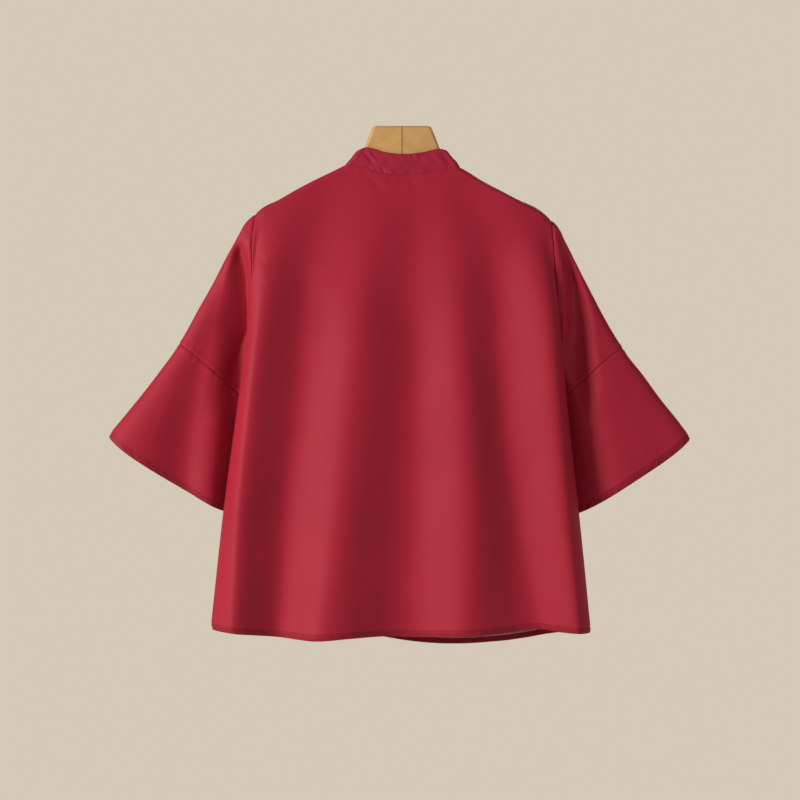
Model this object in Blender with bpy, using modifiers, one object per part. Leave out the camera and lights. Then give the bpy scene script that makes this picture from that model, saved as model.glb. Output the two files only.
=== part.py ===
"""Stand collar blouse hung on a wooden hanger.

Frame: origin at the top centre of the hanger's neck, +Z up, +X to the right as the garment's back is
looked at, +Y towards the wall, so the back of the garment faces -Y and its front faces +Y.
Sizes below are in millimetres. A drop is a distance down from the top of the hanger.
"""
import functools
import math

import bmesh
import bpy
import numpy as np
from mathutils import Matrix

# Units and walls
MM = 0.001
WALL = 1.1
HEM_WALL = 2.2
SEAM_GAP = 0.3
HEM_DEPTH = 8.0
# The walls lean together under the rounded ridge, so its seam is wider outside
RIDGE_SEAM_GAP = 0.8
SIDE_SEAM_GAP = 0.7
RIDGE_SEAM_REACH = 4.0
COLLAR_WALL = 2.0

# Body: how far the rounded shoulder ridge takes to turn into the hanging cloth
ROLL = 9.0
RIDGE_Y = 1.0

# Drops at which the tables of the body give their values
LEVELS = (56, 154, 235, 338, 505, 690)

# Folds of the back: strength (+ crest, - valley) and x at each level
BACK_FOLDS = (
    ("side lobe left", 0.9, (-128, -188, -197, -206, -222, -230)),
    ("valley 1", -1.0, (-77, -119, -127, -136, -154, -168)),
    ("crest 1", 1.2, (-38, -45, -54, -64, -84, -111)),
    ("valley 2", -1.1, (2, 14, 12, 17, 13, 11)),
    ("crest 2", 1.0, (42, 76, 81, 87, 94, 84)),
    ("valley 3", -0.9, (80, 114, 124, 129, 148, 186)),
    ("side lobe right", 1.1, (128, 186, 204.5, 211, 224, 240)),
)
# Folds of the front, which hangs flatter against the wall
FRONT_FOLDS = (
    ("crest 1", 0.5, (-128, -158, -158, -158, -166, -190)),
    ("valley 1", -0.6, (-76, -110, -114, -116, -124, -134)),
    ("crest 2", 0.9, (-38, -52, -60, -66, -76, -82)),
    ("centre", -0.3, (1, 1, 2, 2, 2, 2)),
    ("crest 3", 0.7, (42, 56, 62, 66, 72, 78)),
    ("valley 2", -0.9, (79, 110, 114, 116, 122, 134)),
    ("crest 4", 0.5, (128, 156, 156, 157, 164, 186)),
)
# Depth of each panel from the hanger's plane, and how far a fold of strength 1 swells
BACK_DEPTH = (8.5, 14, 18, 24, 29, 34)
BACK_SWELL = (0, 2.5, 6, 9, 11.5, 13.5)
FRONT_DEPTH = (10.5, 13, 16, 20, 24, 27)
FRONT_SWELL = (0, 2, 4, 6, 8, 9)

# Widest reach of the body's sides, x left and x right, with the depth of the edge
SIDE_REACH = (
    ("neck", 56, -172, 172, -8),
    ("blade", 154, -195, 195, -14),
    ("bust", 235, -202.5, 209, -18),
    ("armpit", 338, -215.5, 218, -8),
    ("waist", 505, -238, 235, -4),
    ("hem", 690, -257, 252.5, -2),
)
# Armhole from shoulder tip to armpit: drop, then x and y of the back edge and of the front edge
LEFT_ARMHOLE = (
    ("shoulder", 121, -198, -8.5, -198, 10),
    ("cap", 150, -201, -13.5, -197, 12.5),
    ("chest", 190, -202, -16, -196, 15),
    ("bust", 235, -203, -13.5, -195, 15.5),
    ("under bust", 275, -201, -6, -195, 15.5),
    ("pit", 310, -199.5, 0, -196, 14.5),
    ("low pit", 328, -199.5, 4, -198, 13),
    ("armpit", 338, -200.5, 9, -200.5, 9),
)
RIGHT_ARMHOLE = (
    ("shoulder", 128, 201.5, -8.5, 201.5, 10),
    ("cap", 155, 204, -12, 200, 12.5),
    ("chest", 195, 206, -13.5, 198, 15),
    ("bust", 240, 207.5, -12.5, 197, 15.5),
    ("under bust", 280, 206, -6, 197, 15.5),
    ("pit", 315, 202, 0, 197.5, 14.5),
    ("low pit", 333, 200.5, 4, 198, 13),
    ("armpit", 343, 200, 9, 200, 9),
)
# Side seam, where back and front meet: drop, x, y
LEFT_SIDE = (
    ("armpit", 338, -200.5, 9),
    ("rib", 372, -202, 11),
    ("waist", 505, -213, 10),
    ("hem", 690, -244, 7),
)
RIGHT_SIDE = (
    ("armpit", 343, 200, 9),
    ("rib", 377, 201, 11),
    ("waist", 505, 209, 10),
    ("hem", 690, 239, 7),
)
# First x of the front inward from each side edge, one value a level, and its depth
FRONT_EDGE_LEFT = (-172, -184, -182, -185, -196, -226)
FRONT_EDGE_RIGHT = (172, 184, 183, 184, 193, 221)
FRONT_EDGE_DEPTH = (9, 13, 16, 18, 19, 18)

# Shoulder ridge from left sleeve to right sleeve, x and drop
NECK_LEFT = -77.0
NECK_RIGHT = 80.5
RIDGE = (
    (-210, 128), (-198, 119.5), (-190, 112), (-167, 100), (-142, 86), (-117, 73), (-90, 59.5), (-77, 53),
    (80.5, 57), (92, 63.5), (107, 73), (131, 86), (158, 100), (185, 113), (193, 119), (201, 127), (212, 137),
)
# Neckline of the back and of the front, x and drop
NECKLINE_BACK = ((-77, 53), (-54, 56), (-30, 63), (-14, 66.5), (5, 67), (34, 63.5), (62, 59.5), (80.5, 57))
NECKLINE_FRONT = (
    (-77, 53), (-70, 73), (-56, 97), (-32, 119), (1, 131), (34, 121), (59, 99), (74, 76), (80.5, 57),
)

# Hem line of each panel, x and drop
HEM_BACK = (
    (-260, 678), (-225, 682), (-165, 688), (-120, 692), (-70, 689), (-20, 687), (20, 688), (60, 687),
    (95, 685.5), (140, 682), (185, 677.5), (215, 681), (256, 682),
)
HEM_FRONT = (
    (-260, 678), (-200, 684), (-100, 688.5), (-30, 690), (5, 695.5), (45, 700), (85, 700.5), (119, 697.4),
    (171, 691.5), (213, 684.5), (256, 682),
)
# Length of the body's left side, from the shoulder tip to the hem
SIDE_LENGTH = HEM_BACK[0][1] - RIDGE[1][1]

# Centre slit of the front, which the stand collar needs to open
SLIT_X = 1.0
SLIT_HALF_WIDTH = 0.6
SLIT_LENGTH = 150.0
SLIT_SHARE = 0.0012

# Stand collar: x and drop of its top edge, at the back and at the front, and how deep it stands
COLLAR_TOP_BACK = ((-61, 34), (-50, 30.3), (-25, 36), (2, 39), (29, 36.5), (53, 32), (62.5, 34.5))
COLLAR_TOP_FRONT = (
    (-61, 34), (-56, 46), (-45, 68), (-26, 92), (1, 103), (28, 93), (47, 68), (58, 46), (62.5, 34.5),
)
COLLAR_SIDE_LEAN = 1.19
COLLAR_BACK_AWAY = 9.7
COLLAR_TOP_FRONT_AWAY = 14.5
COLLAR_TOP_ROLL = 7.0
COLLAR_SEAM_GAP = 0.45
COLLAR_END_GAP = 1.4

# Sleeves. Stations run 0 at the armhole, 1 at the flounce seam, 2 at the sleeve hem. The tuck, where the
# sleeve falls in beside the body: drop, x of its valley, depth, width outward and width inward.
SLEEVE_LEFT = {
    "outer": ((0, -198, 121), (0.06, -209, 130), (0.15, -220, 147), (0.25, -231, 167), (0.5, -254, 210),
              (0.75, -277.5, 252), (1, -301, 294), (1.3, -326, 330), (1.65, -358, 371), (2, -397, 418)),
    "inner": ((0, -200, 338), (0.1, -205, 340), (0.5, -211, 352), (1, -215, 369), (1.5, -221, 448),
              (2, -230, 523)),
    "back folds": (
        ("outer crest", (0.10, 0.12, 0.31), (9, 15, 27)),
        ("valley", (0.30, 0.34, 0.64), (9, 13, 12)),
        ("inner crest", (0.58, 0.66, 0.86), (10, 16, 22)),
        ("gap", (0.88, 0.94, 0.98), (6, 3, 12)),
    ),
    "tuck": ((136, -232, 0, 10, 20), (154, -224, 4, 13, 20), (171, -216, 11, 20, 16), (190, -209.5, 15, 28, 12),
             (205, -206.5, 17, 34, 10), (228, -204.5, 18, 40, 10), (275, -208, 18, 46, 12),
             (310, -212, 17, 48, 14), (345, -217, 13, 50, 16), (400, -224, 0, 50, 20)),
}
SLEEVE_RIGHT = {
    "outer": ((0, 201, 128), (0.06, 210, 137), (0.15, 218.5, 154), (0.25, 227, 170), (0.5, 249, 212),
              (0.75, 272, 256), (1, 298, 300), (1.3, 322, 332), (1.65, 354, 374), (2, 390, 421)),
    "inner": ((0, 199, 343), (0.1, 204, 345), (0.5, 209.5, 357), (1, 213.5, 373), (1.5, 218, 450),
              (2, 226, 527)),
    "back folds": (
        ("outer roll", (0.12, 0.14, 0.16), (9, 15, 19)),
        ("plain", (0.30, 0.31, 0.36), (10, 18, 25)),
        ("inner crest", (0.53, 0.50, 0.60), (10, 20, 29)),
        ("flank", (0.74, 0.76, 0.80), (8, 14, 20)),
        ("gap", (0.90, 0.93, 0.95), (6, 4, 10)),
    ),
    "tuck": ((130, 205, 0, 10, 8), (143, 212, 3, 12, 10), (161, 219, 8, 16, 14), (184, 225, 11, 20, 18),
             (208, 229, 13, 24, 21), (235, 232, 14, 26, 23), (273, 235, 14, 28, 26),
             (310, 237, 13, 30, 28), (345, 239, 10, 32, 30), (400, 240, 0, 34, 30)),
}
# The wall side of both sleeves has two softer folds
SLEEVE_FRONT_FOLDS = (
    ("outer crest", (0.2, 0.22, 0.24), (9, 11, 16)),
    ("valley", (0.45, 0.48, 0.5), (7, 7, 9)),
    ("inner crest", (0.75, 0.78, 0.8), (8, 9, 13)),
)
SLEEVE_MID_OUTER = (0, 3, 2)
SLEEVE_MID_INNER = (9, 14.5, 15)
SLEEVE_BOW = (0, -3, 7)
SLEEVE_EDGE_POWER = 5
SLEEVE_BLEND = 0.6
# How soon the tuck starts from the armhole seam and from the sleeve's outer edge
TUCK_STARTS = 0.05
TUCK_EDGE = 0.14
TUCK_LAST = 0.3
SLEEVE_SEAM_GAP = 0.7
FLOUNCE_SEAM_GAP = 0.7

# Hanger
HANGER_HALF_THICKNESS = 6.0
HANGER_ROUNDING = 5.0
# Each arm's outline starts past the joint, where the arm is then cut, half a gap from the centre
HANGER_CUT = 0.25
HANGER_NECK = ((-7, 0), (36, 0), (39.5, 1.5), (41, 4), (51, 30), (57, 42))
HANGER_TOP_FROM = 64.0
HANGER_TOP_TO = 176.0
HANGER_TOP_STEP = 16.0
HANGER_CLEAR = 0.7
WELD = 0.001
HANGER_END = ((185, 118), (187, 125), (182, 132))
HANGER_UNDERSIDE = ((160, 129), (120, 115), (80, 99), (45, 87), (20, 80), (0, 77), (-7, 77))

# Button at the collar's front
BUTTON_X = 8.0
BUTTON_STAND = 0.75
BUTTON_DROP = 117.0
BUTTON_RADIUS = 4.5
BUTTON_THICKNESS = 2.4
BUTTON_RIM = 0.6
BUTTON_SIDES = 24
LOOP_RADIUS = 5.5
LOOP_THREAD = 0.6
LOOP_LEFT_X = -6.0
LOOP_POINTS = 12
LOOP_HALF_TURN = 130

# Rows and columns
TOP_TRIES = 8
FIRST_TRY = 100.0
NEAR_HEM = 680.0
EDGE_SHARE = 0.02
# Share of the armhole below which the sleeve folds back over the body's seam, and its clearance
FOLD_FROM = 0.5
FOLD_TO = 0.75
FOLD_CLEAR = 2.2
# Rows to each side of the armpit where the back's edge stays clear of the sleeve
ARMPIT_ROWS = 2
ARMPIT_GAP = 0.7
BACK_COLUMNS_PER_FOLD = 4
FRONT_COLUMNS_PER_FOLD = 3
# The two spans of folds next to the neck points, and where their columns bunch
NECK_SPANS = (3, 6)
NECK_BUNCH = (0, 0.08, 0.25, 0.55)
ROLL_ROWS = (0, 0.7, 2.6, 5.5, 9)
ARMHOLE_ROWS = (26, 48, 72, 97, 122, 147, 170, 190, 204, 212.5)
SIDE_ROWS = 7
# Heights of the last plain row and of the hem's top row, in hem depths
LAST_ROW_AT = 4
HEM_TOP_AT = 1.25
UPPER_STATIONS = (0, 0.025, 0.055, 0.1, 0.16, 0.25, 0.4, 0.6, 0.8, 1)
FLOUNCE_STATIONS = (1, 1.13, 1.3, 1.47, 1.64, 1.8, 1.93, 1.945, 2)

# Colours, roughness
CLOTH_RED = (0.33, 0.014, 0.030)
FLOUNCE_RED = (0.31, 0.013, 0.028)
COLLAR_RED = (0.30, 0.012, 0.027)
WOOD = (0.52, 0.29, 0.10)
CLOTH_ROUGHNESS = 0.42
WOOD_ROUGHNESS = 0.45


def smooth_through(keys, values, at):
    """Cubic curve through the values at rising keys."""
    keys = np.asarray(keys, float)
    values = np.asarray(values, float)
    slopes = np.gradient(values, keys, axis=0)
    i = int(np.clip(np.searchsorted(keys, at) - 1, 0, len(keys) - 2))
    span = keys[i + 1] - keys[i]
    t = float(np.clip((at - keys[i]) / span, 0, 1))
    ease_in = t * t * (3 - 2 * t)
    leave = t * (1 - t) ** 2 * span
    arrive = -t * t * (1 - t) * span
    return values[i] * (1 - ease_in) + values[i + 1] * ease_in + slopes[i] * leave + slopes[i + 1] * arrive


def line_through(pairs, x):
    """Height of a smooth line, given as x and drop pairs, at x."""
    return float(smooth_through([pair[0] for pair in pairs], [pair[1] for pair in pairs], x))


def side_edge(armhole, side, is_back, drop):
    """Point (x, y) of a panel's side edge at a drop, on the armhole or on the side seam."""
    if drop > side[0][1]:
        return smooth_through([row[1] for row in side], [row[2:4] for row in side], drop)
    first = 2 if is_back else 4
    return smooth_through([row[1] for row in armhole], [row[first:first + 2] for row in armhole], drop)


def panel_controls(is_back, drop):
    """Points (x, y) that one level section of a panel runs through, left to right."""
    folds = BACK_FOLDS if is_back else FRONT_FOLDS
    x = smooth_through(LEVELS, np.array([fold[2] for fold in folds]).T, drop)
    depth = smooth_through(LEVELS, BACK_DEPTH if is_back else FRONT_DEPTH, drop)
    swell = smooth_through(LEVELS, BACK_SWELL if is_back else FRONT_SWELL, drop)
    away = depth + swell * np.array([fold[1] for fold in folds])
    y = -away if is_back else away
    if is_back:
        reach = smooth_through(LEVELS, [row[2:] for row in SIDE_REACH], drop)
        left_edge = (reach[0], reach[2])
        right_edge = (reach[1], reach[2])
    else:
        edge_depth = smooth_through(LEVELS, FRONT_EDGE_DEPTH, drop)
        left_edge = (smooth_through(LEVELS, FRONT_EDGE_LEFT, drop), edge_depth)
        right_edge = (smooth_through(LEVELS, FRONT_EDGE_RIGHT, drop), edge_depth)
    return np.array([side_edge(LEFT_ARMHOLE, LEFT_SIDE, is_back, drop), left_edge, *zip(x, y), right_edge,
                     side_edge(RIGHT_ARMHOLE, RIGHT_SIDE, is_back, drop)])


@functools.lru_cache(maxsize=None)
def section_point(is_back, across, drop):
    """Point (x, y) of a panel at a share across it, each fold taking an equal share."""
    points = panel_controls(is_back, drop)
    steps = np.linalg.norm(np.diff(points, axis=0), axis=1)
    along = np.concatenate(([0], np.cumsum(steps)))
    place = np.interp(across * (len(points) - 1), range(len(points)), along)
    return smooth_through(along, points, place)


def in_neck(x):
    return NECK_LEFT <= x <= NECK_RIGHT


def top_line(is_back, x):
    """Drop of a panel's top edge: the shoulder ridge, and the neckline between the neck points."""
    if in_neck(x):
        return line_through(NECKLINE_BACK if is_back else NECKLINE_FRONT, x)
    side = [pair for pair in RIDGE if (pair[0] < 0) == (x < 0)]
    return line_through(side, x)


def rolled(depth, share):
    """Depth reached on a quarter round that leaves the ridge."""
    share = min(1.0, max(0.0, share))
    return RIDGE_Y + (depth - RIDGE_Y) * math.sqrt(1 - (1 - share) ** 2)


def neck_inset(x):
    """Distance of x inside the nearer neck point."""
    return min(x - NECK_LEFT, NECK_RIGHT - x)


def top_depth(is_back, x, depth):
    """Depth of a panel's top edge: on the ridge, or rolled over the hanger to the collar's seam."""
    if not in_neck(x):
        return RIDGE_Y
    neck_point = line_through(NECKLINE_BACK, NECK_LEFT if x < 0 else NECK_RIGHT)
    under = top_line(is_back, x) - neck_point + neck_inset(x) * COLLAR_SIDE_LEAN
    return rolled(depth, under / ROLL)


@functools.lru_cache(maxsize=None)
def column_top(is_back, across):
    """Drop at which a column of the panel meets the panel's top edge."""
    drop = FIRST_TRY
    for _ in range(TOP_TRIES):
        drop = top_line(is_back, section_point(is_back, across, drop)[0])
    return drop


def panel_point(is_back, across, below):
    """Point on a panel's outer face; below is the distance under the top edge at its left side."""
    top = column_top(is_back, across)
    hem_pairs = HEM_BACK if is_back else HEM_FRONT
    hem = line_through(hem_pairs, section_point(is_back, across, NEAR_HEM)[0])
    if below <= ROLL:
        drop = top + below
    else:
        share = (below - ROLL) / (SIDE_LENGTH - ROLL)
        drop = top + ROLL + share * (hem - top - ROLL)
    x, y = section_point(is_back, across, drop)
    under = drop - top
    if under < ROLL:
        turned = 1 - math.sqrt(1 - (1 - under / ROLL) ** 2)
        y = y + turned * (top_depth(is_back, x, y) - y)
    return np.array((x, y, -drop))


def panel_rows():
    """Distances under the top edge, measured at the left side, of every row of a panel."""
    armpit = LEFT_SIDE[0][1] - LEFT_ARMHOLE[0][1]
    below = np.linspace(armpit, SIDE_LENGTH - LAST_ROW_AT * HEM_DEPTH, SIDE_ROWS)
    turned = (SIDE_LENGTH - HEM_TOP_AT * HEM_DEPTH, SIDE_LENGTH - HEM_DEPTH, SIDE_LENGTH)
    return list(ROLL_ROWS) + list(ARMHOLE_ROWS) + list(below) + list(turned)


def armhole_count():
    """Number of rows from the shoulder tip to the armpit, both counted."""
    return len(ROLL_ROWS) + len(ARMHOLE_ROWS) + 1


@functools.lru_cache(maxsize=None)
def panel_columns(is_back):
    """Shares across a panel; the front has two columns close beside its slit."""
    spans = len(BACK_FOLDS if is_back else FRONT_FOLDS) + 3
    steps = BACK_COLUMNS_PER_FOLD if is_back else FRONT_COLUMNS_PER_FOLD
    shares = []
    for span in range(spans):
        inside = np.arange(steps) / steps
        if span == NECK_SPANS[0]:
            inside = np.array(NECK_BUNCH)
        elif span == NECK_SPANS[1]:
            inside = 1 - np.array((*NECK_BUNCH[1:], 1))[::-1]
        shares += [(span + share) / spans for share in inside]
    shares.append(1.0)
    if is_back:
        return shares
    middle = int(np.argmin(np.abs(np.array(shares) - 0.5)))
    return shares[:middle] + [0.5 - SLIT_SHARE, 0.5 + SLIT_SHARE] + shares[middle + 1:]


def loft(rows, closed=False, skip=None):
    """Vertices and faces of a sheet through rows of points."""
    width = len(rows[0])
    verts = [tuple(point * MM) for row in rows for point in row]
    faces = []
    for r in range(len(rows) - 1):
        for c in range(width if closed else width - 1):
            if skip and skip(r, c):
                continue
            n = (c + 1) % width
            faces.append((r * width + c, r * width + n, (r + 1) * width + n, (r + 1) * width + c))
    return verts, faces


def material(name, colour, roughness, metallic=0.0):
    made = bpy.data.materials.new(name)
    made.use_nodes = True
    shader = made.node_tree.nodes["Principled BSDF"]
    shader.inputs["Base Color"].default_value = (*colour, 1)
    shader.inputs["Roughness"].default_value = roughness
    shader.inputs["Metallic"].default_value = metallic
    made.diffuse_color = (*colour, 1)
    return made


def add_object(name, data, collection, finish):
    made = bpy.data.objects.new(name, data)
    made.data.materials.append(finish)
    collection.objects.link(made)
    return made


def cloth_shell(name, rows, collection, finish, wall, hem_rows=0, closed=False, skip=None, outward=1):
    """Cloth wall on a lofted sheet; its last rows may be doubled as a turned hem."""
    verts, faces = loft(rows, closed, skip)
    if outward < 0:
        faces = [tuple(reversed(face)) for face in faces]
    mesh = bpy.data.meshes.new(name)
    mesh.from_pydata(verts, [], faces)
    mesh.shade_smooth()
    shell = add_object(name, mesh, collection, finish)
    solid = shell.modifiers.new("cloth wall", "SOLIDIFY")
    solid.thickness = (HEM_WALL if hem_rows else wall) * MM
    solid.offset = -1
    solid.use_even_offset = True
    if hem_rows:
        group = shell.vertex_groups.new(name="turned hem")
        width = len(rows[0])
        group.add(list(range((len(rows) - hem_rows) * width, len(rows) * width)), 1.0, "REPLACE")
        solid.vertex_group = group.name
        solid.thickness_vertex_group = wall / HEM_WALL
    return shell


def build_panels(collection):
    """Back and front of the body, parted by the seam gap on the shoulders and at the sides."""
    for name, is_back in (("back_panel", True), ("front_panel", False)):
        below = panel_rows()
        columns = panel_columns(is_back)
        rows = [[panel_point(is_back, across, under) for across in columns] for under in below]
        rows = [part_at_seams(row, is_back, r) for r, row in enumerate(rows)]
        middle = len(columns) // 2 - 1
        slit_rows = sum(1 for under in below if under < SLIT_LENGTH)
        skip = None if is_back else lambda r, c: c == middle and r < slit_rows
        if not is_back:
            rows = [slit_row(row, middle) for row in rows]
        finish = material("red satin, " + name.split("_")[0], CLOTH_RED, CLOTH_ROUGHNESS)
        cloth_shell(name, rows, collection, finish, WALL, 2, skip=skip, outward=-1 if is_back else 1)


def part_at_seams(row, is_back, r):
    """Draw a row back from its seams: half a gap at the ridge, and along the row at the sides."""
    row = [point.copy() for point in row]
    armpit = armhole_count() - 1
    for edge, inner in ((0, 1), (-1, -2)):
        way = row[inner] - row[edge]
        way /= np.linalg.norm(way)
        if r >= armpit:
            row[edge] += way * SIDE_SEAM_GAP / 2
        if is_back and abs(r - armpit) <= ARMPIT_ROWS:
            row[edge] += way * ARMPIT_GAP
    if r == 0:
        for point in row:
            if abs(point[1] - RIDGE_Y) < RIDGE_SEAM_REACH:
                point[1] += -RIDGE_SEAM_GAP / 2 if is_back else RIDGE_SEAM_GAP / 2
    return row


def slit_row(row, middle):
    """Set the two columns at the centre to the sides of the slit."""
    row[middle][0] = SLIT_X - SLIT_HALF_WIDTH
    row[middle + 1][0] = SLIT_X + SLIT_HALF_WIDTH
    return row


def sleeve_folds(folds, across, station):
    """Depth of a sleeve's face from its mid plane."""
    stations = (0, 1, 2)
    keys = [0.0]
    depths = []
    for _, places, deep in folds:
        keys.append(float(smooth_through(stations, places, station)))
        depths.append(float(smooth_through(stations, deep, station)))
    keys.append(1.0)
    depths = [depths[0], *depths, depths[-1]]
    return float(smooth_through(keys, depths, across))


def tuck_depth(tuck, place):
    """Depth of the tuck at a place (x, drop), on a half wave to each side of its valley."""
    valley, depth, outward, inward = smooth_through([row[0] for row in tuck], [row[1:] for row in tuck], place[1])
    aside = (place[0] - valley) * math.copysign(1, valley)
    share = min(1.0, abs(aside) / (outward if aside > 0 else inward))
    return depth * (1 + math.cos(math.pi * share)) / 2


def sleeve_free(sleeve, is_back, across, station):
    """Point of the freely hanging sleeve; across runs from its outer to its inner edge."""
    outer = smooth_through([p[0] for p in sleeve["outer"]], [p[1:] for p in sleeve["outer"]], station)
    inner = smooth_through([p[0] for p in sleeve["inner"]], [p[1:] for p in sleeve["inner"]], station)
    chord = inner - outer
    flat = outer + chord * across
    way = np.array((-chord[1], chord[0])) / np.linalg.norm(chord)
    if way[1] < 0:
        way = -way
    bow = smooth_through((0, 1, 2), SLEEVE_BOW, station) * (1 - (2 * across - 1) ** 4)
    flat = flat + way * bow
    mid_outer = smooth_through((0, 1, 2), SLEEVE_MID_OUTER, station)
    mid_inner = smooth_through((0, 1, 2), SLEEVE_MID_INNER, station)
    mid = mid_outer + (mid_inner - mid_outer) * across
    folds = sleeve["back folds"] if is_back else SLEEVE_FRONT_FOLDS
    round_off = math.sqrt(max(0.0, 1 - abs(2 * across - 1) ** SLEEVE_EDGE_POWER))
    deep = sleeve_folds(folds, across, station) * round_off
    if is_back:
        starts = min(1.0, station / TUCK_STARTS) * min(1.0, across / TUCK_EDGE)
        deep -= tuck_depth(sleeve["tuck"], flat) * starts * min(1.0, (1 - across) / TUCK_LAST)
    return np.array((flat[0], mid - deep if is_back else mid + deep, -flat[1]))


def armhole_edge(is_left, is_back, row):
    """Point just past the body's armhole edge in one row, in line with the panel."""
    below = panel_rows()[row]
    edge = panel_point(is_back, 0.0 if is_left else 1.0, below)
    inside = panel_point(is_back, EDGE_SHARE if is_left else 1 - EDGE_SHARE, below)
    way = edge - inside
    way[2] = 0
    way /= np.linalg.norm(way)
    if is_back:
        outward = np.array((-way[1], way[0], 0)) if is_left else np.array((way[1], -way[0], 0))
        fold = min(1.0, max(0.0, row / (armhole_count() - 1) - FOLD_FROM) / (FOLD_TO - FOLD_FROM))
        way = way * (1 - fold) + outward * fold * FOLD_CLEAR
    return edge + way * SLEEVE_SEAM_GAP


def sleeve_point(sleeve, edge, across, is_back, station):
    """Sleeve point that starts on the armhole edge and eases into the free sleeve."""
    free = sleeve_free(sleeve, is_back, across, station)
    share = min(1.0, station / SLEEVE_BLEND)
    keep = 1 - share * share * (3 - 2 * share)
    return free + keep * (edge - sleeve_free(sleeve, is_back, across, 0.0))


def build_sleeves(collection):
    """Upper sleeve and flounce on each side, each a flattened tube."""
    count = armhole_count()
    below = panel_rows()[:count]
    shares = [(under - below[0]) / (below[-1] - below[0]) for under in below]
    for side, is_left, sleeve in (("left", True, SLEEVE_LEFT), ("right", False, SLEEVE_RIGHT)):
        ring = [(k, True) for k in range(count)] + [(k, False) for k in range(count - 2, 0, -1)]
        edges = [armhole_edge(is_left, is_back, k) for k, is_back in ring]
        for end in (0, count - 1):
            edges[end] = (edges[end] + armhole_edge(is_left, False, end)) / 2

        def section(station):
            return [sleeve_point(sleeve, edge, shares[k], is_back, station)
                    for edge, (k, is_back) in zip(edges, ring)]

        outward = -1 if is_left else 1
        upper = [section(station) for station in UPPER_STATIONS]
        flounce = [section(station) for station in FLOUNCE_STATIONS]
        upper[-1] = shift_rows(upper[-1], upper[-2], FLOUNCE_SEAM_GAP / 2)
        flounce[0] = shift_rows(flounce[0], flounce[1], FLOUNCE_SEAM_GAP / 2)
        finish = material("red satin, " + side + " sleeve", CLOTH_RED, CLOTH_ROUGHNESS)
        cloth_shell("upper_sleeve_" + side, upper, collection, finish, WALL, closed=True, outward=outward)
        finish = material("red satin, " + side + " flounce", FLOUNCE_RED, CLOTH_ROUGHNESS)
        cloth_shell("sleeve_flounce_" + side, flounce, collection, finish, WALL, 2, closed=True,
                    outward=outward)


def shift_rows(row, towards, distance):
    """Move each point of a row some way towards the next row."""
    moved = []
    for point, aim in zip(row, towards):
        way = aim - point
        moved.append(point + way / np.linalg.norm(way) * distance)
    return moved


def neckline_points(is_back):
    """The neckline's vertices on a panel's top edge, left to right."""
    points = [panel_point(is_back, across, 0.0) for across in panel_columns(is_back)]
    return [point for point in points if in_neck(point[0])]


def collar_top(is_back, seam):
    """Point of the collar's top edge above a point of its seam."""
    left, right = COLLAR_TOP_BACK[0], COLLAR_TOP_BACK[-1]
    share = (seam[0] - NECK_LEFT) / (NECK_RIGHT - NECK_LEFT)
    x = left[0] + share * (right[0] - left[0])
    if is_back:
        drop = line_through(COLLAR_TOP_BACK, x)
        y = rolled(-COLLAR_BACK_AWAY, min(x - left[0], right[0] - x) / COLLAR_TOP_ROLL)
    else:
        drop = line_through(COLLAR_TOP_FRONT, x)
        side_drop = left[1] if x < 0 else right[1]
        y = rolled(COLLAR_TOP_FRONT_AWAY, (drop - side_drop) / COLLAR_TOP_ROLL)
    return np.array((x, y, -drop))


def build_collar(collection):
    """Stand collar, a doubled band from one side of the front opening round to the other."""
    front = neckline_points(False)
    back = neckline_points(True)
    right_front = [(False, point) for point in front if point[0] > SLIT_X]
    left_front = [(False, point) for point in front if point[0] < SLIT_X]
    middle = [(True, point) for point in reversed(back[1:-1])]
    rows = [[], [], []]
    for is_back, point in right_front + middle + left_front:
        seam = point.copy()
        if abs(seam[0] - SLIT_X) < COLLAR_END_GAP:
            seam[0] = SLIT_X + math.copysign(COLLAR_END_GAP / 2, seam[0] - SLIT_X)
        top = collar_top(is_back, seam)
        up = top - seam
        seam = seam + up / np.linalg.norm(up) * COLLAR_SEAM_GAP
        rows[0].append(top)
        rows[1].append((top + seam) / 2)
        rows[2].append(seam)
    finish = material("red satin, collar", COLLAR_RED, CLOTH_ROUGHNESS)
    cloth_shell("stand_collar", rows, collection, finish, COLLAR_WALL)


def hanger_outline(side):
    """Outline of one half of the hanger, from the neck round the shoulder to the underside."""
    outline = [(side * x, -drop) for x, drop in HANGER_NECK]
    steps = int((HANGER_TOP_TO - HANGER_TOP_FROM) / HANGER_TOP_STEP) + 1
    for k in range(steps):
        x = side * (HANGER_TOP_FROM + k * HANGER_TOP_STEP)
        drop = top_line(True, x) if not in_neck(x) else line_through(
            [pair for pair in RIDGE if (pair[0] < 0) == (x < 0)], x)
        outline.append((x, -(drop + WALL + HANGER_CLEAR)))
    outline += [(side * x, -drop) for x, drop in HANGER_END + HANGER_UNDERSIDE]
    return outline


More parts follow.
